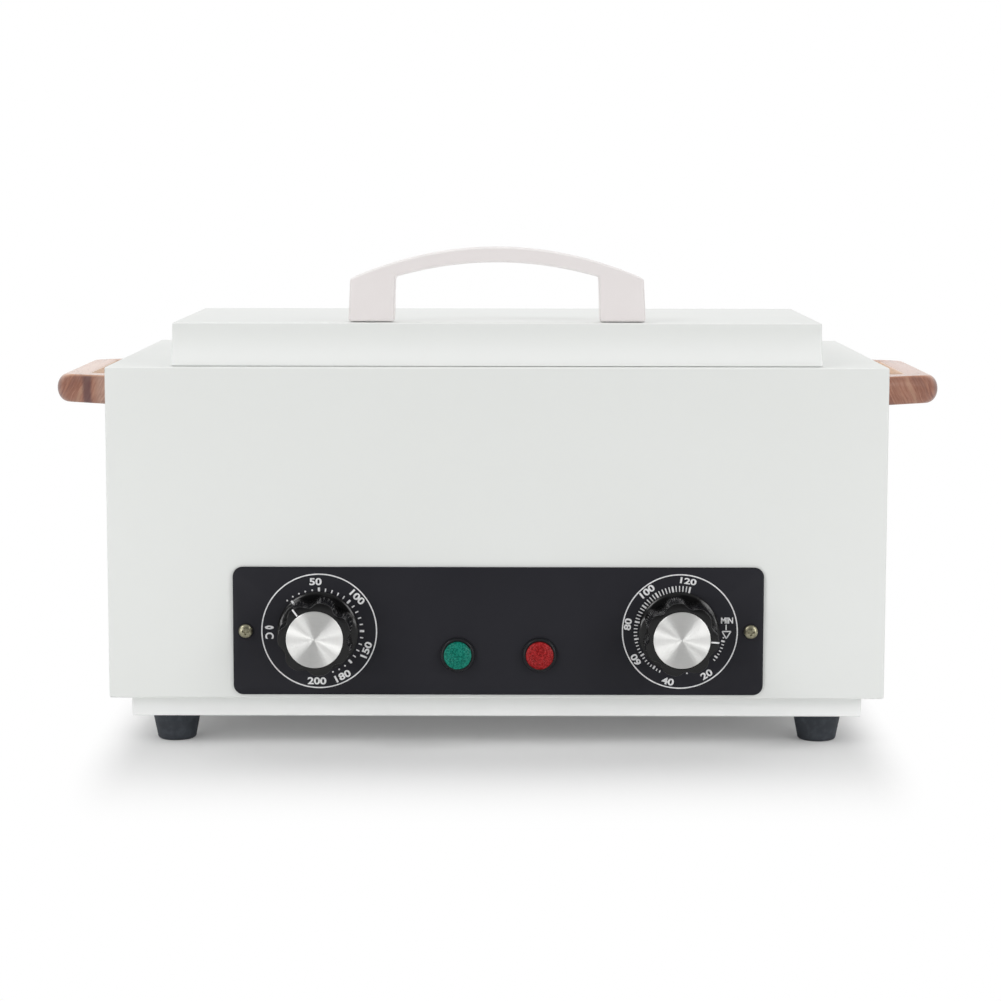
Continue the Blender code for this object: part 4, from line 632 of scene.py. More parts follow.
def rounded(half_u, half_v, radius, middle, steps):
    """Outline of a rectangle with round corners."""
    outline = []
    for quarter, (sign_u, sign_v) in enumerate(((1, 1), (-1, 1), (-1, -1), (1, -1))):
        centre = (middle[0] + sign_u * (half_u - radius), middle[1] + sign_v * (half_v - radius))
        start = quarter * math.pi / 2
        outline += arc(centre, radius, start, start + math.pi / 2, steps)
    return outline


def rectangle(half_u, half_v, middle):
    corners = ((-1, -1), (1, -1), (1, 1), (-1, 1))
    return [(middle[0] + u * half_u, middle[1] + v * half_v) for u, v in corners]


def baked(piece):
    """The mesh that an object's modifiers make."""
    view = bpy.context.evaluated_depsgraph_get()
    view.update()
    return bpy.data.meshes.new_from_object(piece.evaluated_get(view))


def bake(piece):
    mesh = baked(piece)
    piece.modifiers.clear()
    piece.data = mesh


def combine(piece, tools, operation):
    """Cut tools from a piece, or fuse them to it, and drop the tools."""
    for tool in tools:
        change = piece.modifiers.new(operation, "BOOLEAN")
        change.object = tool
        change.operation = operation
        change.solver = "EXACT"
        bake(piece)
        bpy.data.objects.remove(tool, do_unlink=True)
    return piece


def cut(piece, *tools):
    return combine(piece, tools, "DIFFERENCE")


def fuse(piece, *tools):
    return combine(piece, tools, "UNION")


def soften(piece, width, segments, angle=30):
    """Round the sharp edges of a piece."""
    change = piece.modifiers.new("edge", "BEVEL")
    change.width = width
    change.segments = segments
    change.limit_method = "ANGLE"
    change.angle_limit = math.radians(angle)
    bake(piece)


def dress(piece, slot, body, *nodes, smooth=35):
    """Give a piece its finish and shading, and let it ride on a body in place of nodes."""
    piece.data.materials.clear()
    piece.data.materials.append(FINISHES[slot])
    piece.data.shade_smooth()
    piece.data.set_sharp_from_angle(angle=math.radians(smooth))
    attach(piece, body)
    if nodes:
        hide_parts(*nodes)


# Body, plinth and feet


def front_holes(start, end):
    """Cutters for the shafts, lamps and screws of the front."""
    holes = [rod("hole", "Y", (x, DIAL_Z), 4.5 * MM, start, end) for x in (THERMOSTAT_X, TIMER_X)]
    holes += [rod("hole", "Y", (x, LAMP_Z), 6.3 * MM, start, end) for x in LAMPS.values()]
    holes += [rod("hole", "Y", (x, DIAL_Z), 1.8 * MM, start, end, 16) for x in PANEL_SCREWS.values()]
    return holes


def make_body_shell():
    """The folded steel body with its round folds, tank hole and openings."""
    shell = block("body_shell_fine", BODY_LOW, BODY_HIGH)
    soften(shell, FOLD, 5)
    flange = 20 * MM
    cut(shell, cutter(BODY_LOW, BODY_HIGH, SHEET, BODY_BOTTOM + SHEET, BODY_TOP - SHEET))
    cut(shell, cutter(BODY_LOW, BODY_HIGH, flange, BODY_BOTTOM - OVERRUN, BODY_BOTTOM + OVERRUN))
    outline = rounded(118.9 * MM, 53.9 * MM, 12 * MM, (0, TANK_Y), 10)
    cut(shell, prism("tank_hole", outline, "Z", BODY_TOP - SHEET - OVERRUN, BODY_TOP + OVERRUN))
    cut(shell, *front_holes(FRONT_Y - OVERRUN, FRONT_Y + SHEET + OVERRUN))
    slot = rectangle(13.8 * MM, 10.05 * MM, INLET)
    cut(shell, prism("inlet_hole", slot, "Y", BACK_Y - SHEET - OVERRUN, BACK_Y + OVERRUN))
    for x in (-BODY_SIDE, BODY_SIDE):
        for y in SIDE_SCREWS:
            cut(shell, rod("hole", "X", (y, SIDE_Z), SCREW_HOLE, x - OVERRUN, x + OVERRUN, 16))
    dress(shell, "powder_coat", "housing", "body_shell")


def make_plinth():
    """The plinth pan under the body, with its vents and access holes."""
    pan = block("plinth_fine", PLINTH_LOW, PLINTH_HIGH)
    soften(pan, FOLD, 5)
    low = PLINTH_LOW
    high = PLINTH_HIGH
    floor = low.z + SHEET
    lip = 11 * MM
    cut(pan, cutter(low, high, SHEET, floor, high.z - SHEET))
    cut(pan, cutter(low, high, lip, floor + OVERRUN, high.z + OVERRUN))
    middle = (low.y + high.y) / 2
    for x, y in FOOT_PLACES.values():
        cut(pan, rod("hole", "Z", (x, y), SCREW_HOLE, low.z - OVERRUN, floor + OVERRUN))
    for x in (-151.0 * MM, 151.0 * MM):
        for y in (middle - 45 * MM, middle + 45 * MM):
            cut(pan, rod("hole", "Z", (x, y), 1.8 * MM, high.z - OVERRUN, high.z + OVERRUN))
            cut(pan, rod("access", "Z", (x, y), 4.2 * MM, low.z - OVERRUN, floor + OVERRUN))
    for x in (-65 * MM, 65 * MM):
        for step in range(-2, 3):
            outline = rounded(15 * MM, 1.6 * MM, 1.59 * MM, (x, middle + step * 9 * MM), 6)
            cut(pan, prism("vent", outline, "Z", low.z - OVERRUN, floor + OVERRUN))
    dress(pan, "powder_coat", "housing", "base_plate")
    # The plinth takes the copy of the coat with painted shade at its top
    pan.data.materials[0] = FINISHES["plinth_coat_painted_shade"]


def make_feet():
    """Tapered rubber feet with a rounded tread and a moulded step at the top."""
    profile = [(5.5, 0), (5.7, 0)] + ease(6.9, 1.5, 1.5, -90, 0, 7)
    profile += [(10.45, 11.9), (10.60, 12.5), (10.52, 12.85), (10.25, 13.0)]
    profile += [(2.3, 13.0), (2.3, 6.5), (5.2, 6.5), (5.2, 0.3)]
    for name, place in FOOT_PLACES.items():
        foot = turned("foot_fine_" + name, metres(profile), "Z", place, 56, True)
        dress(foot, "foot_rubber", "housing", "foot_" + name)


# Control panel and its print


def make_panel():
    """The panel plate with eased edges."""
    half_x = (PANEL_HIGH.x - PANEL_LOW.x) / 2
    half_z = (PANEL_HIGH.z - PANEL_LOW.z) / 2
    outline = rounded(half_x, half_z, 4.2 * MM, (PANEL_MIDDLE, DIAL_Z), 10)
    panel = prism("panel_fine", outline, "Y", PANEL_LOW.y, PANEL_HIGH.y)
    soften(panel, 0.2 * MM, 2, 50)
    cut(panel, *front_holes(PANEL_LOW.y - OVERRUN, PANEL_HIGH.y + OVERRUN))
    dress(panel, "panel_black", "housing", "control_panel")


# Print: thickness, boldness, shift to the right, and its ring

PRINT = 0.05 * MM
PRINT_WEIGHT = 0.03
PRINT_SHIFT = 0.45 * MM
RING_REACH = 24.35
RING_WIDTH = 0.52


class Dial:
    """Printed marks round a knob; angles run clockwise from the top, in degrees."""

    def __init__(self, x):
        self.middle = Vector((x + PRINT_SHIFT, 0, DIAL_Z))
        self.maker = bmesh.new()

    def spot(self, angle, reach, across=0.0):
        """A point at an angle and a reach, moved sideways; both lengths in millimetres."""
        turn = math.radians(angle)
        x = reach * math.sin(turn) + across * math.cos(turn)
        z = reach * math.cos(turn) - across * math.sin(turn)
        return self.middle + Vector((x * MM, 0, z * MM))

    def patch(self, points):
        """A flat printed patch from its outline."""
        rings = [[point + Vector((0, y, 0)) for point in points] for y in (PANEL_Y, PANEL_Y - PRINT)]
        add_loft(self.maker, rings)

    def tick(self, angle, inner, outer, width):
        half = width / 2
        corners = ((inner, -half), (inner, half), (outer, half), (outer, -half))
        self.patch([self.spot(angle, reach, across) for reach, across in corners])

    def dot(self, angle, reach, radius):
        centre = self.spot(angle, reach)
        outline = circle(radius * MM, 12, (centre.x, centre.z))
        self.patch([Vector((x, 0, z)) for x, z in outline])

    def ring(self):
        """The printed ring round the scale."""
        rings = []
        for share, y in ((-0.5, 0), (0.5, 0), (0.5, -PRINT), (-0.5, -PRINT)):
            outline = circle((RING_REACH + share * RING_WIDTH) * MM, 120, (self.middle.x, DIAL_Z))
            rings.append([Vector((x, PANEL_Y + y, z)) for x, z in outline])
        add_loft(self.maker, rings, True)

    def stroke(self, first, last, width):
        """A straight printed line between two points of the panel, in millimetres from the dial."""
        start = Vector((first[0], 0, first[1])) * MM
        end = Vector((last[0], 0, last[1])) * MM
        along = (end - start).normalized()
        side = Vector((along.z, 0, -along.x)) * (width / 2 * MM)
        points = (start - side, start + side, end + side, end - side)
        self.patch([self.middle + point for point in points])

    def words(self, text, angle, reach, height, turn, wide=1.3):
        """Printed figures or letters, centred at a place and turned clockwise."""
        curve = bpy.data.curves.new("print", "FONT")
        curve.body = text
        curve.offset = PRINT_WEIGHT
        curve.extrude = 0.01
        item = add_object("print", curve)
        mesh = baked(item)
        bpy.data.objects.remove(item, do_unlink=True)
        low = [min(v.co[k] for v in mesh.vertices) for k in range(2)]
        high = [max(v.co[k] for v in mesh.vertices) for k in range(2)]
        size = height * MM / (high[1] - low[1])
        tilt = math.radians(turn)
        centre = self.spot(angle, reach)
        for vertex in mesh.vertices:
            u = (vertex.co.x - (low[0] + high[0]) / 2) * size * wide
            v = (vertex.co.y - (low[1] + high[1]) / 2) * size
            depth = PRINT if vertex.co.z > 0 else 0
            x = u * math.cos(tilt) + v * math.sin(tilt)
            z = v * math.cos(tilt) - u * math.sin(tilt)
            vertex.co = centre + Vector((x, PANEL_Y - depth, z))
        self.maker.from_mesh(mesh)

    def finish(self, name):
        bmesh.ops.remove_doubles(self.maker, verts=self.maker.verts, dist=0.001 * MM)
        dress(as_piece(name, self.maker), "dial_print", "housing", smooth=20)


def print_thermostat_dial():
    """Degree scale from 50 to 200."""
    dial = Dial(THERMOSTAT_X)
    dial.ring()
    dots_before = ((-46, 18.75), (-37, 18.4), (-28, 18.05), (-18.9, 17.9), (-9.3, 17.7))
    dots_after = ((144, 18.5), (153, 18.5), (162, 18.5))
    for angle, reach in dots_before + dots_after:
        dial.dot(angle, reach, 0.38)
    for angle in range(0, 136, 9):
        centre = 18.15 - 0.45 * math.cos(math.radians(angle))
        half, width = (0.7, 0.55) if angle % 45 else (0.95, 0.95)
        dial.tick(angle, centre - half, centre + half, width)
    figures = (
        ("50", -3.9, 21.2, 0),
        ("100", 48.3, 21.8, 45),
        ("150", 112, 21.5, -68),
        ("180", 152.9, 21.7, -27),
        ("200", 182.9, 21.5, 1),
    )
    for text, angle, reach, turn in figures:
        dial.words(text, angle, reach, 3.1, turn)
    dial.words("C", 264.5, 21.2, 3.6, 90, 0.85)
    dial.words("°", 274, 21.2, 3.8, 90, 0.42)
    dial.finish("thermostat_print")


def print_timer_dial():
    """Minute scale from 0 to 120."""
    dial = Dial(TIMER_X)
    dial.ring()
    zero = 102.6
    outer = 19.6
    for step in range(61):
        angle = zero + step * 4.5
        if 134 < angle < 205:
            continue
        length = 1.0 + 1.5 * ((1 + math.cos(math.radians(angle + 10))) / 2) ** 2
        longer, width = (0.5, 0.75) if step % 5 == 0 else (0, 0.44)
        dial.tick(angle, outer - length - longer, outer, width)
    dial.dot(170, 18.2, 0.36)
    dial.dot(98, 18.7, 0.36)
    figures = {"20": 148, "40": 193, "60": 237, "80": 278, "100": 321, "120": 9}
    for text, angle in figures.items():
        turn = angle - 180 if text in ("20", "40") else angle
        height, wide = (2.65, 1.5) if text == "120" else (3.0, 1.3)
        # The figures stand a little left of the ring's middle
        reach = 21.9 - 0.4 * math.sin(math.radians(angle))
        dial.words(text, angle, reach, height, turn, wide)
    dial.words("MIN", 76.5, 20.5, 2.6, 0, 0.85)
    # The arrow under the word: a short line, and an open head that points down
    dial.stroke((19.6, 3.0), (19.6, 0.6), 0.5)
    corners = ((17.9, 0.1), (21.6, 0.1), (19.7, -3.0))
    for index in range(3):
        dial.stroke(corners[index], corners[(index + 1) % 3], 0.5)
    dial.finish("timer_print")


# Knobs, caps, lamps and panel screws


# Radius, Y and size of the hollow round the skirt and of the face's edge, in millimetres

SKIRT_HOLLOW = (14.72, 1.6, 3.7)
FACE_EDGE = (15.1, -20.95, 0.45)


def lobed_ring(radius, dip, y):
    """A ring of seven wide lobes with notches between, one lobe at the top."""
    count = 168
    ring = []
    for index in range(count):
        angle = 2 * math.pi * index / count
        wave = (1 - math.cos(7 * angle)) / 2
        reach = radius - dip * wave**2
        ring.append(Vector((reach * math.sin(angle), y, reach * math.cos(angle))) * MM)
    return ring


def set_on_dial(piece, x, turn):
    """Turn a piece about the knob's axis and put it on its dial."""
    piece.data.transform(Matrix.Rotation(turn, 4, "Y"))
    piece.data.transform(Matrix.Translation((x, KNOB_Y, DIAL_Z)))


def ease(radius, y, size, start, end, steps=3):
    """Rows of a rounded edge, as radius and Y, about a centre."""
    return arc((radius, y), size, math.radians(start), math.radians(end), steps)


def make_knob(prefix, x, turn):
    """A skirted knob with soft lobe edges and a bore for its shaft."""
    rows = [(16.7, 0, 0)]
    rows += [(r, 0, y) for r, y in ease(16.7, -0.5, 0.5, 60, 0)]
    rows += [(r, 0, y) for r, y in ease(16.9, -1.0, 0.3, 0, -50)]
    rows += [(r, 0, y) for r, y in ease(*SKIRT_HOLLOW, -50, -70, 6)[1:]]
    rows += [(15.82, 2.1, -2.0)]
    rows += [(r, 2.1, y) for r, y in ease(*FACE_EDGE, 0, -90, 5)]
    rows += [(12.15, 0, -21.4), (12.15, 0, -20.6)]
    knob = loft(prefix + "_knob_fine", [lobed_ring(*row) for row in rows])
    start = math.asin(2.3 / 3.3)
    bore = arc((0, 0), 3.3 * MM, math.pi - start, 2 * math.pi + start, 24)
    cut(knob, prism("bore", bore, "Y", -15.3 * MM, OVERRUN))
    set_on_dial(knob, x, turn)
    dress(knob, "knob_black", prefix + "_dial", prefix + "_knob", smooth=40)


def make_pointer(prefix, x, turn):
    """The white line over a knob's face, and on the thermostat's skirt too."""
    on_face = [(12.2, -21.4), (15.1, -21.4)] + ease(*FACE_EDGE, -90, -5, 4)[1:]
    on_skirt = [(15.9, -1.92)] + ease(*SKIRT_HOLLOW, -70, -50, 4) + [(17.18, -1.05)]
    paths = [("face", on_face, 0.34, turn)]
    if prefix == "thermostat":
        paths.append(("skirt", on_skirt, 0.4, turn - math.radians(4)))
    for name, path, half, place in paths:
        rings = []
        for index, (reach, y) in enumerate(path):
            before = Vector(path[max(index - 1, 0)])
            after = Vector(path[min(index + 1, len(path) - 1)])
            along = (after - before).normalized()
            ring = []
            for depth, side in ((0.05, -half), (0.05, half), (-0.3, half), (-0.3, -half)):
                ring.append(Vector((side, y - along.x * depth, reach + along.y * depth)) * MM)
            rings.append(ring)
        line = loft(prefix + "_pointer_" + name, rings)
        set_on_dial(line, x, place)
        dress(line, "dial_print", prefix + "_dial")


def make_cap(prefix, x):
    """The spun disc in the face of a knob, with its turned grooves."""
    profile = [(11.55, 20.9), (11.85, 21.1)]
    profile += [(r, -y) for r, y in ease(11.55, -22.2, 0.3, 0, -75, 4)]
    grooves = 14
    for index in range(4 * grooves):
        profile.append((11.35 - index * 0.2, 22.46 - 0.012 * math.sin(index * math.pi / 2)))
    cap = turned(prefix + "_cap_fine", metres(profile), "Z", (0, 0), 128)
    cap.matrix_world = Matrix.Translation((x, KNOB_Y, DIAL_Z)) @ Matrix.Rotation(math.pi / 2, 4, "X")
    dress(cap, "spun_aluminium", prefix + "_dial", prefix + "_knob_cap", smooth=65)


def spade(x, y):
    """A flat terminal that stands back from a lamp."""
    low = (x - 0.4 * MM, y - OVERRUN, LAMP_Z - 1.4 * MM)
    return block("tab", low, (x + 0.4 * MM, y + 8 * MM, LAMP_Z + 1.4 * MM))


def diamonds(x, z, pitch):
    """Height of a cross-cut diamond pattern, from 0 in the grooves to 1 on the points."""
    first = abs(((x + z) / pitch) % 1 - 0.5)
    second = abs(((x - z) / pitch) % 1 - 0.5)
    return 1 - 2 * max(first, second)


def make_lamp(name, x):
    """A pilot lamp: its holder with a rounded bezel, and its cross-cut domed lens."""
    middle = (x, LAMP_Z)
    face = PANEL_Y - 2.1 * MM
    back = PANEL_Y + 21.7 * MM
    lens_seat = face + 1.2 * MM
    profile = metres([(6.0, 22.0), (6.0, 0), (7.2, 0)], PANEL_Y - FIT)
    profile += metres(ease(6.4, 0.8, 0.8, 0, -90, 7) + [(6.15, 0)], face)
    profile += metres([(6.15, 0), (5.1, 0), (5.1, 5.3)], lens_seat)
    holder = turned(name + "_holder_fine", profile, "Y", middle)
    fuse(holder, spade(x - 3 * MM, back), spade(x + 3 * MM, back))
    dress(holder, "plastic_black", "housing", name + "_lamp_holder")
    rim = face - 1.1 * MM
    radius = 5.85
    points = 120
    rows = metres([(4.8, 5.0), (4.8, -0.3), (radius, -0.3)], lens_seat) + [(radius * MM, rim)]
    rings = turned_rings(rows, "Y", middle, points)
    levels = 40
    for index in range(1, levels):
        reach = radius * (1 - index / levels)
        crown = 1.3 * math.sqrt(1 - (reach / radius) ** 2)
        fade = min(1, (radius - reach) / 0.5)
        ring = []
        for u, v in circle(reach, points):
            relief = 0.16 * fade * (diamonds(u, v, 1.25) - 1)
            ring.append(Vector((x + u * MM, rim - (crown + relief) * MM, LAMP_Z + v * MM)))
        rings.append(ring)
    lens = loft(name + "_lens_fine", rings)
    dress(lens, "lens_" + name, "housing", name + "_lamp_lens", smooth=12)


def make_panel_screw(side, x):
    """A cross-head screw with a domed head."""
    seat = PANEL_Y - FIT
    profile = [(0.75, 8.0), (1.5, 7.2), (1.5, 0), (3.0, 0), (3.0, -0.5)]
    for angle in (0.25, 0.5, 0.75, 1.0, 1.25, 1.45):
        profile.append((3.0 * math.cos(angle) ** 0.8, -0.5 - 1.2 * math.sin(angle)))
    middle = (x, DIAL_Z)
    screw = turned("panel_screw_fine_" + side, metres(profile, seat), "Y", middle, 48)
    drives = []
    for half_u, half_v in ((0.5, 1.9), (1.9, 0.5)):
        rings = []
        for y, share in ((-2.2, 1.0), (-0.9, 0.6)):
            outline = rectangle(half_u * share * MM, half_v * share * MM, middle)
            rings.append([on_axis("Y", u, v, seat + y * MM) for u, v in outline])
        drives.append(loft("drive", rings))
    cut(screw, fuse(*drives))
    dress(screw, "screw_nickel", "housing", "panel_screw_" + side, smooth=30)


def make_front():
    """The panel with its print, knobs, lamps and screws."""
    make_panel()
    print_thermostat_dial()
    print_timer_dial()
    for name, (x, turn) in DIALS.items():
        make_knob(name, x, turn)
        make_pointer(name, x, turn)
        make_cap(name, x)
    for name, x in LAMPS.items():
        make_lamp(name, x)
    for side, x in PANEL_SCREWS.items():
        make_panel_screw(side, x)


# Lid


def make_lid_shell():
    """The folded lid, its front and side walls flared a little towards their lower edge."""
    lid = block("lid_shell_fine", LID_LOW - Vector((0, 0, 3 * MM)), LID_HIGH)
    soften(lid, FOLD, 5)
    cut(lid, cutter(LID_LOW, LID_HIGH, -OVERRUN, LID_LOW.z - 5 * MM, LID_LOW.z - 0.35 * MM))
    cut(lid, cutter(LID_LOW, LID_HIGH, SHEET, LID_LOW.z - OVERRUN, LID_TOP - SHEET))
    ends = (LID_TOP - SHEET - OVERRUN, LID_TOP + OVERRUN)
    for x in ARCH_SCREWS:
        cut(lid, rod("hole", "Z", (x, ARCH_Y), SCREW_HOLE, *ends, 24))
    wall_top = LID_TOP - FOLD
    wall = wall_top - LID_LOW.z
    maker = bmesh.new()
    maker.from_mesh(lid.data)
    for share in (0.12, 0.25, 0.4, 0.55, 0.7, 0.85):
        every = list(maker.verts) + list(maker.edges) + list(maker.faces)
        level = (0, 0, LID_LOW.z + share * wall)
        bmesh.ops.bisect_plane(maker, geom=every, plane_co=level, plane_no=(0, 0, 1))
    for vertex in maker.verts:
        drop = max(0, (wall_top - vertex.co.z) / wall)
        if abs(vertex.co.x) > LID_HIGH.x - SHEET - FIT:
            vertex.co.x += math.copysign(LID_FLARE * drop**2, vertex.co.x)
        if vertex.co.y < LID_LOW.y + SHEET + FIT:
            vertex.co.y -= LID_FRONT_FLARE * drop**2
    maker.to_mesh(lid.data)
    maker.free()
    dress(lid, "powder_coat", "lid", "lid_shell")
    # The lid takes the copy of the coat with painted light towards its lower edge
    lid.data.materials[0] = FINISHES["lid_coat_painted_light"]


def parabola(half, low, high, steps=36):
    """Points of an arch from its right foot over the crown to its left foot."""
    places = [half * (1 - 2 * index / steps) for index in range(steps + 1)]
    return [(u, high - (high - low) * (u / half) ** 2) for u in places]


def make_lid_handle():
    """The arched handle with soft edges."""
    base = LID_TOP + FIT
    foot = 62.8 * MM
    inner = 43.4 * MM
    outline = [(foot, base)]
    outline += parabola(61.9 * MM, LID_TOP + 18.4 * MM, LID_TOP + 31.7 * MM)
    outline += [(-foot, base), (-inner, base)]
    outline += reversed(parabola(42.95 * MM, LID_TOP + 19.1 * MM, LID_TOP + 25.3 * MM))
    outline += [(inner, base)]
    handle = prism("lid_handle_fine", outline, "Y", ARCH_LOW.y, ARCH_HIGH.y)
    soften(handle, 1.1 * MM, 5)
    ends = (LID_TOP - OVERRUN, LID_TOP + 12.3 * MM)
    for x in ARCH_SCREWS:
        cut(handle, rod("hole", "Z", (x, ARCH_Y), SCREW_HOLE, *ends, 24))
    dress(handle, "handle_white", "lid", "lid_handle")


# Side handles


def side_outline():
    """Plan of a side handle: rows of reach, place along the side and edge rounding, in millimetres."""
    reach = 28.6
    corner = 10
    inner = reach - corner
    lean = math.atan2(9, inner)
    quarter = math.pi / 2
    rows = [(0.3, -62, 0.8)]
    rows += [(u, v, 3.6) for u, v in arc((inner, corner - 53), corner, lean - quarter, 0, 14)]
    rows += [(reach, v, 3.6) for v in (-30, -15, 0, 15, 30)]
    rows += [(u, v, 3.6) for u, v in arc((inner, 53 - corner), corner, 0, quarter - lean, 14)]
    rows += [(0.3, 62, 0.8), (0.3, 43, 0.8)]
    rows += [(u, v, 0.8) for u, v in arc((9.1, 38), 5, quarter, 0, 10)]
    rows += [(u, v, 0.8) for u, v in arc((9.1, -38), 5, 0, -quarter, 10)]
    rows += [(0.3, -43, 0.8)]
    return rows


def make_side_handle(side, sign):
    """A wooden side handle with a bulged grip."""
    name = "side_handle_" + side
    rows = side_outline()
    count = len(rows)
    levels = 20
    rings = []
    for level in range(levels + 1):
        tilt = -math.pi / 2 + math.pi * level / levels
        z = SIDE_Z + 6.15 * MM * math.sin(tilt)
        ring = []
        for index, (reach, along, rounding) in enumerate(rows):
            before = rows[index - 1]
            after = rows[(index + 1) % count]
            way = Vector((after[0] - before[0], after[1] - before[1])).normalized()
            draw = (rounding + 1.0 * max(way.y, 0)) * (1 - math.cos(tilt))
            u = max(reach - way.y * draw, 0.3)
            v = along + way.x * draw
            ring.append(Vector((sign * (BODY_SIDE + u * MM), SIDE_Y + v * MM, z)))
        rings.append(ring)
    handle = loft(name + "_fine", rings)
    for y in SIDE_SCREWS:
        ends = (sign * (BODY_SIDE - OVERRUN), sign * (BODY_SIDE + 15.3 * MM))
        cut(handle, rod("hole", "X", (y, SIDE_Z), SCREW_HOLE, *ends, 24))
    dress(handle, "walnut", "housing", name, smooth=50)


# Tank and hinges


def make_tank():
    """The tank with round corners and a rounded floor."""
    half_x = 118.3 * MM
    half_y = 53.3 * MM
    corner = 12 * MM
    inner = corner - THIN_SHEET
    lip = 8 * MM
    top = TANK_HIGH.z
    rim = top - THIN_SHEET
    bottom = TANK_LOW.z

    def ring(inset, radius, z):
        outline = rounded(half_x - inset, half_y - inset, radius, (0, TANK_Y), 12)
        return [Vector((x, y, z)) for x, y in outline]

    def rounded_floor(wall, radius, bend):
        """Rings from the flat of the floor up to the wall."""
        made = []
        for index in range(9):
            angle = math.pi / 2 * index / 8
            inset = bend * (1 - math.sin(angle))
            height = wall + bend * (1 - math.cos(angle))
            made.append(ring(wall + inset, radius - inset, bottom + height))
        return made

    rings = rounded_floor(0, corner, 6 * MM)
    rings += [
        ring(0, corner, rim),
        ring(-lip, corner + lip, rim),
        ring(-lip, corner + lip, top),
        ring(0.3 * MM, 11.7 * MM, top),
        ring(0.6 * MM, 11.4 * MM, top - 0.15 * MM),
        ring(THIN_SHEET, inner, top - 0.5 * MM),
    ]
    rings += reversed(rounded_floor(THIN_SHEET, inner, 5.2 * MM))
    dress(loft("tank_fine", rings), "stainless", "housing", "tank")


def make_hinge(side, x):
    """The two leaves of a butt hinge with their round knuckles and rivets."""
    half = 15 * MM
    tab = 5.5 * MM
    gauge = 0.9 * MM
    middle = (HINGE_Y, HINGE_Z)
    low_z = BODY_TOP + FIT
    high_z = low_z + gauge
    low_y = LID_HIGH.y + FIT
    high_y = low_y + gauge

    def knuckle(start, end):
        return rod("knuckle", "X", middle, 2.4 * MM, x + start, x + end, 40)

    body_leaf = block("leaf", (x - half, HINGE_Y + 3 * MM, low_z), (x + half, 64.4 * MM, high_z))
    for start, end in ((-half, -5.8 * MM), (5.8 * MM, half)):
        tongue = block("tongue", (x + start, HINGE_Y, low_z), (x + end, 55 * MM, high_z))
        fuse(body_leaf, tongue, knuckle(start, end))
    lid_leaf = block("leaf", (x - half, low_y, HINGE_Z + 3 * MM), (x + half, high_y, HINGE_Z + 12 * MM))
    tongue = block("tongue", (x - tab, low_y, HINGE_Z), (x + tab, high_y, HINGE_Z + 5 * MM))
    fuse(lid_leaf, tongue, knuckle(-tab, tab))
    for kind, leaf, body in (("body", body_leaf, "housing"), ("lid", lid_leaf, "lid")):
        cut(leaf, rod("bore", "X", middle, 1.3 * MM, x - half - OVERRUN, x + half + OVERRUN))
        leaf.name = f"hinge_{kind}_leaf_fine_{side}"
        dress(leaf, "zinc_steel", body, f"hinge_{kind}_leaf_{side}")
    dome = [(2.2, 0), (2.1, 0.35), (1.6, 0.75), (0.9, 0.98), (0.1, 1.05)]
    for number, way in enumerate((-1, 1), 1):
        place = (x + way * 4.5 * MM, 58.4 * MM)
        rivet = turned(f"rivet_body_{side}_{number}", metres(dome, high_z), "Z", place, 32)
        dress(rivet, "zinc_steel", "housing")
        place = (x + way * 10 * MM, HINGE_Z + 7.5 * MM)
        rivet = turned(f"rivet_lid_{side}_{number}", metres(dome, high_y), "Y", place, 32)
        dress(rivet, "zinc_steel", "lid")


# Studio


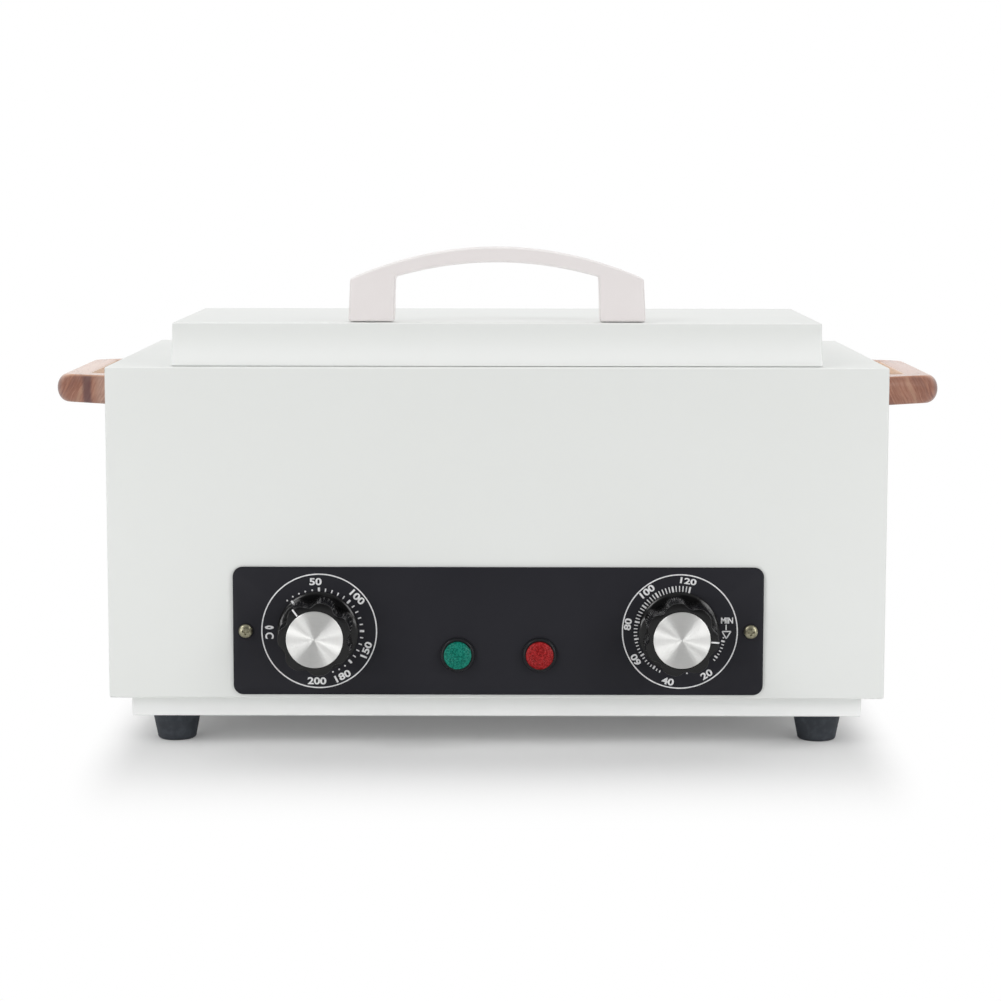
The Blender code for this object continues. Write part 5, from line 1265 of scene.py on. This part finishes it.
def make_floor():
    """A pale floor that keeps the shadow and runs out to plain white."""
    half = 6.0
    maker = bmesh.new()
    maker.faces.new([maker.verts.new((x, y, 0)) for x, y in rectangle(half, half, (0, 0))])
    floor = as_piece("floor", maker)
    f = Finish("floor")
    x, y, _ = f.apart()
    beside = f.maths("MAXIMUM", (x * x) ** 0.5 - (BODY_SIDE - 16 * MM), 0.0) * 5
    front = f.maths("MAXIMUM", FRONT_Y - y, 0.0)
    back = f.maths("MAXIMUM", y - BACK_Y, 0.0)
    away = f.ramp((beside * beside + front * front + back * back) ** 0.5, 0.0, 0.14)
    camera, clear = f.rays()
    seen = camera + clear * (y > BACK_Y)
    near = f.ramp((x * x + y * y) ** 0.5, 0.8, 1.4, 1, 0)
    plain = f.node("BsdfDiffuse", Color=f.blend(near, (40, 40, 40), (240, 240, 240)))
    white = f.node("Emission", Color=(1, 1, 1, 1), Strength=1.0)
    f.mixed_output("OutputMaterial", (0.12 + 0.88 * away) * seen, plain, white)
    floor.data.materials.append(f.data)


def make_surroundings():
    """Pale studio walls: bright behind and above, dim in front; white to the camera."""
    f = Finish("surroundings", world=True)
    _, y, z = f.apart(f.signal(f.node("TexCoord"), "Generated"))
    behind = f.ramp(y, -0.35, 0.45)
    above = f.ramp(z, 0.2, 0.95)
    level = 0.08 + 0.92 * behind * (1 - above) + 0.52 * above
    room = f.node("Background", Color=(1, 1, 1, 1), Strength=level)
    white = f.node("Background", Color=(1, 1, 1, 1), Strength=1.0)
    camera, clear = f.rays()
    f.mixed_output("OutputWorld", camera + clear * (y > 0.3) * (z < 0.5), room, white)
    bpy.context.scene.world = f.data
    bpy.context.scene.view_settings.view_transform = "Standard"


def add_softbox(name, place, width, height, power, aim=(0, 0, 0.1)):
    """A large soft lamp that faces a point."""
    lamp = bpy.data.lights.new(name, "AREA")
    lamp.shape = "RECTANGLE"
    lamp.size = width
    lamp.size_y = height
    lamp.energy = power
    item = add_object(name, lamp)
    item.location = place
    way = Vector(aim) - Vector(place)
    item.rotation_euler = way.to_track_quat("-Z", "Y").to_euler()


def make_lights():
    """Softboxes at the upper left and right, two low strips and one above and behind."""
    add_softbox("left_softbox", (-1.86, -1.6, 1.83), 1.0, 1.0, 21.5)
    add_softbox("right_softbox", (1.96, -1.6, 1.17), 1.0, 1.0, 17.3)
    add_softbox("low_left_softbox", (-1.7, -1.9, 0.20), 1.2, 0.3, 11.6, (0, 0, 0.08))
    add_softbox("low_right_softbox", (1.7, -1.9, 0.20), 1.2, 0.3, 8.9, (0, 0, 0.08))
    add_softbox("back_softbox", (0, 0.7, 1.5), 1.4, 0.9, 5.5)


make_camera()
dress_packed_nodes()
make_body_shell()
make_plinth()
make_feet()
make_front()
make_lid_shell()
make_lid_handle()
for side, sign in SIDES.items():
    make_side_handle(side, sign)
make_tank()
for side, sign in SIDES.items():
    make_hinge(side, sign * 90 * MM)
make_floor()
make_surroundings()
make_lights()
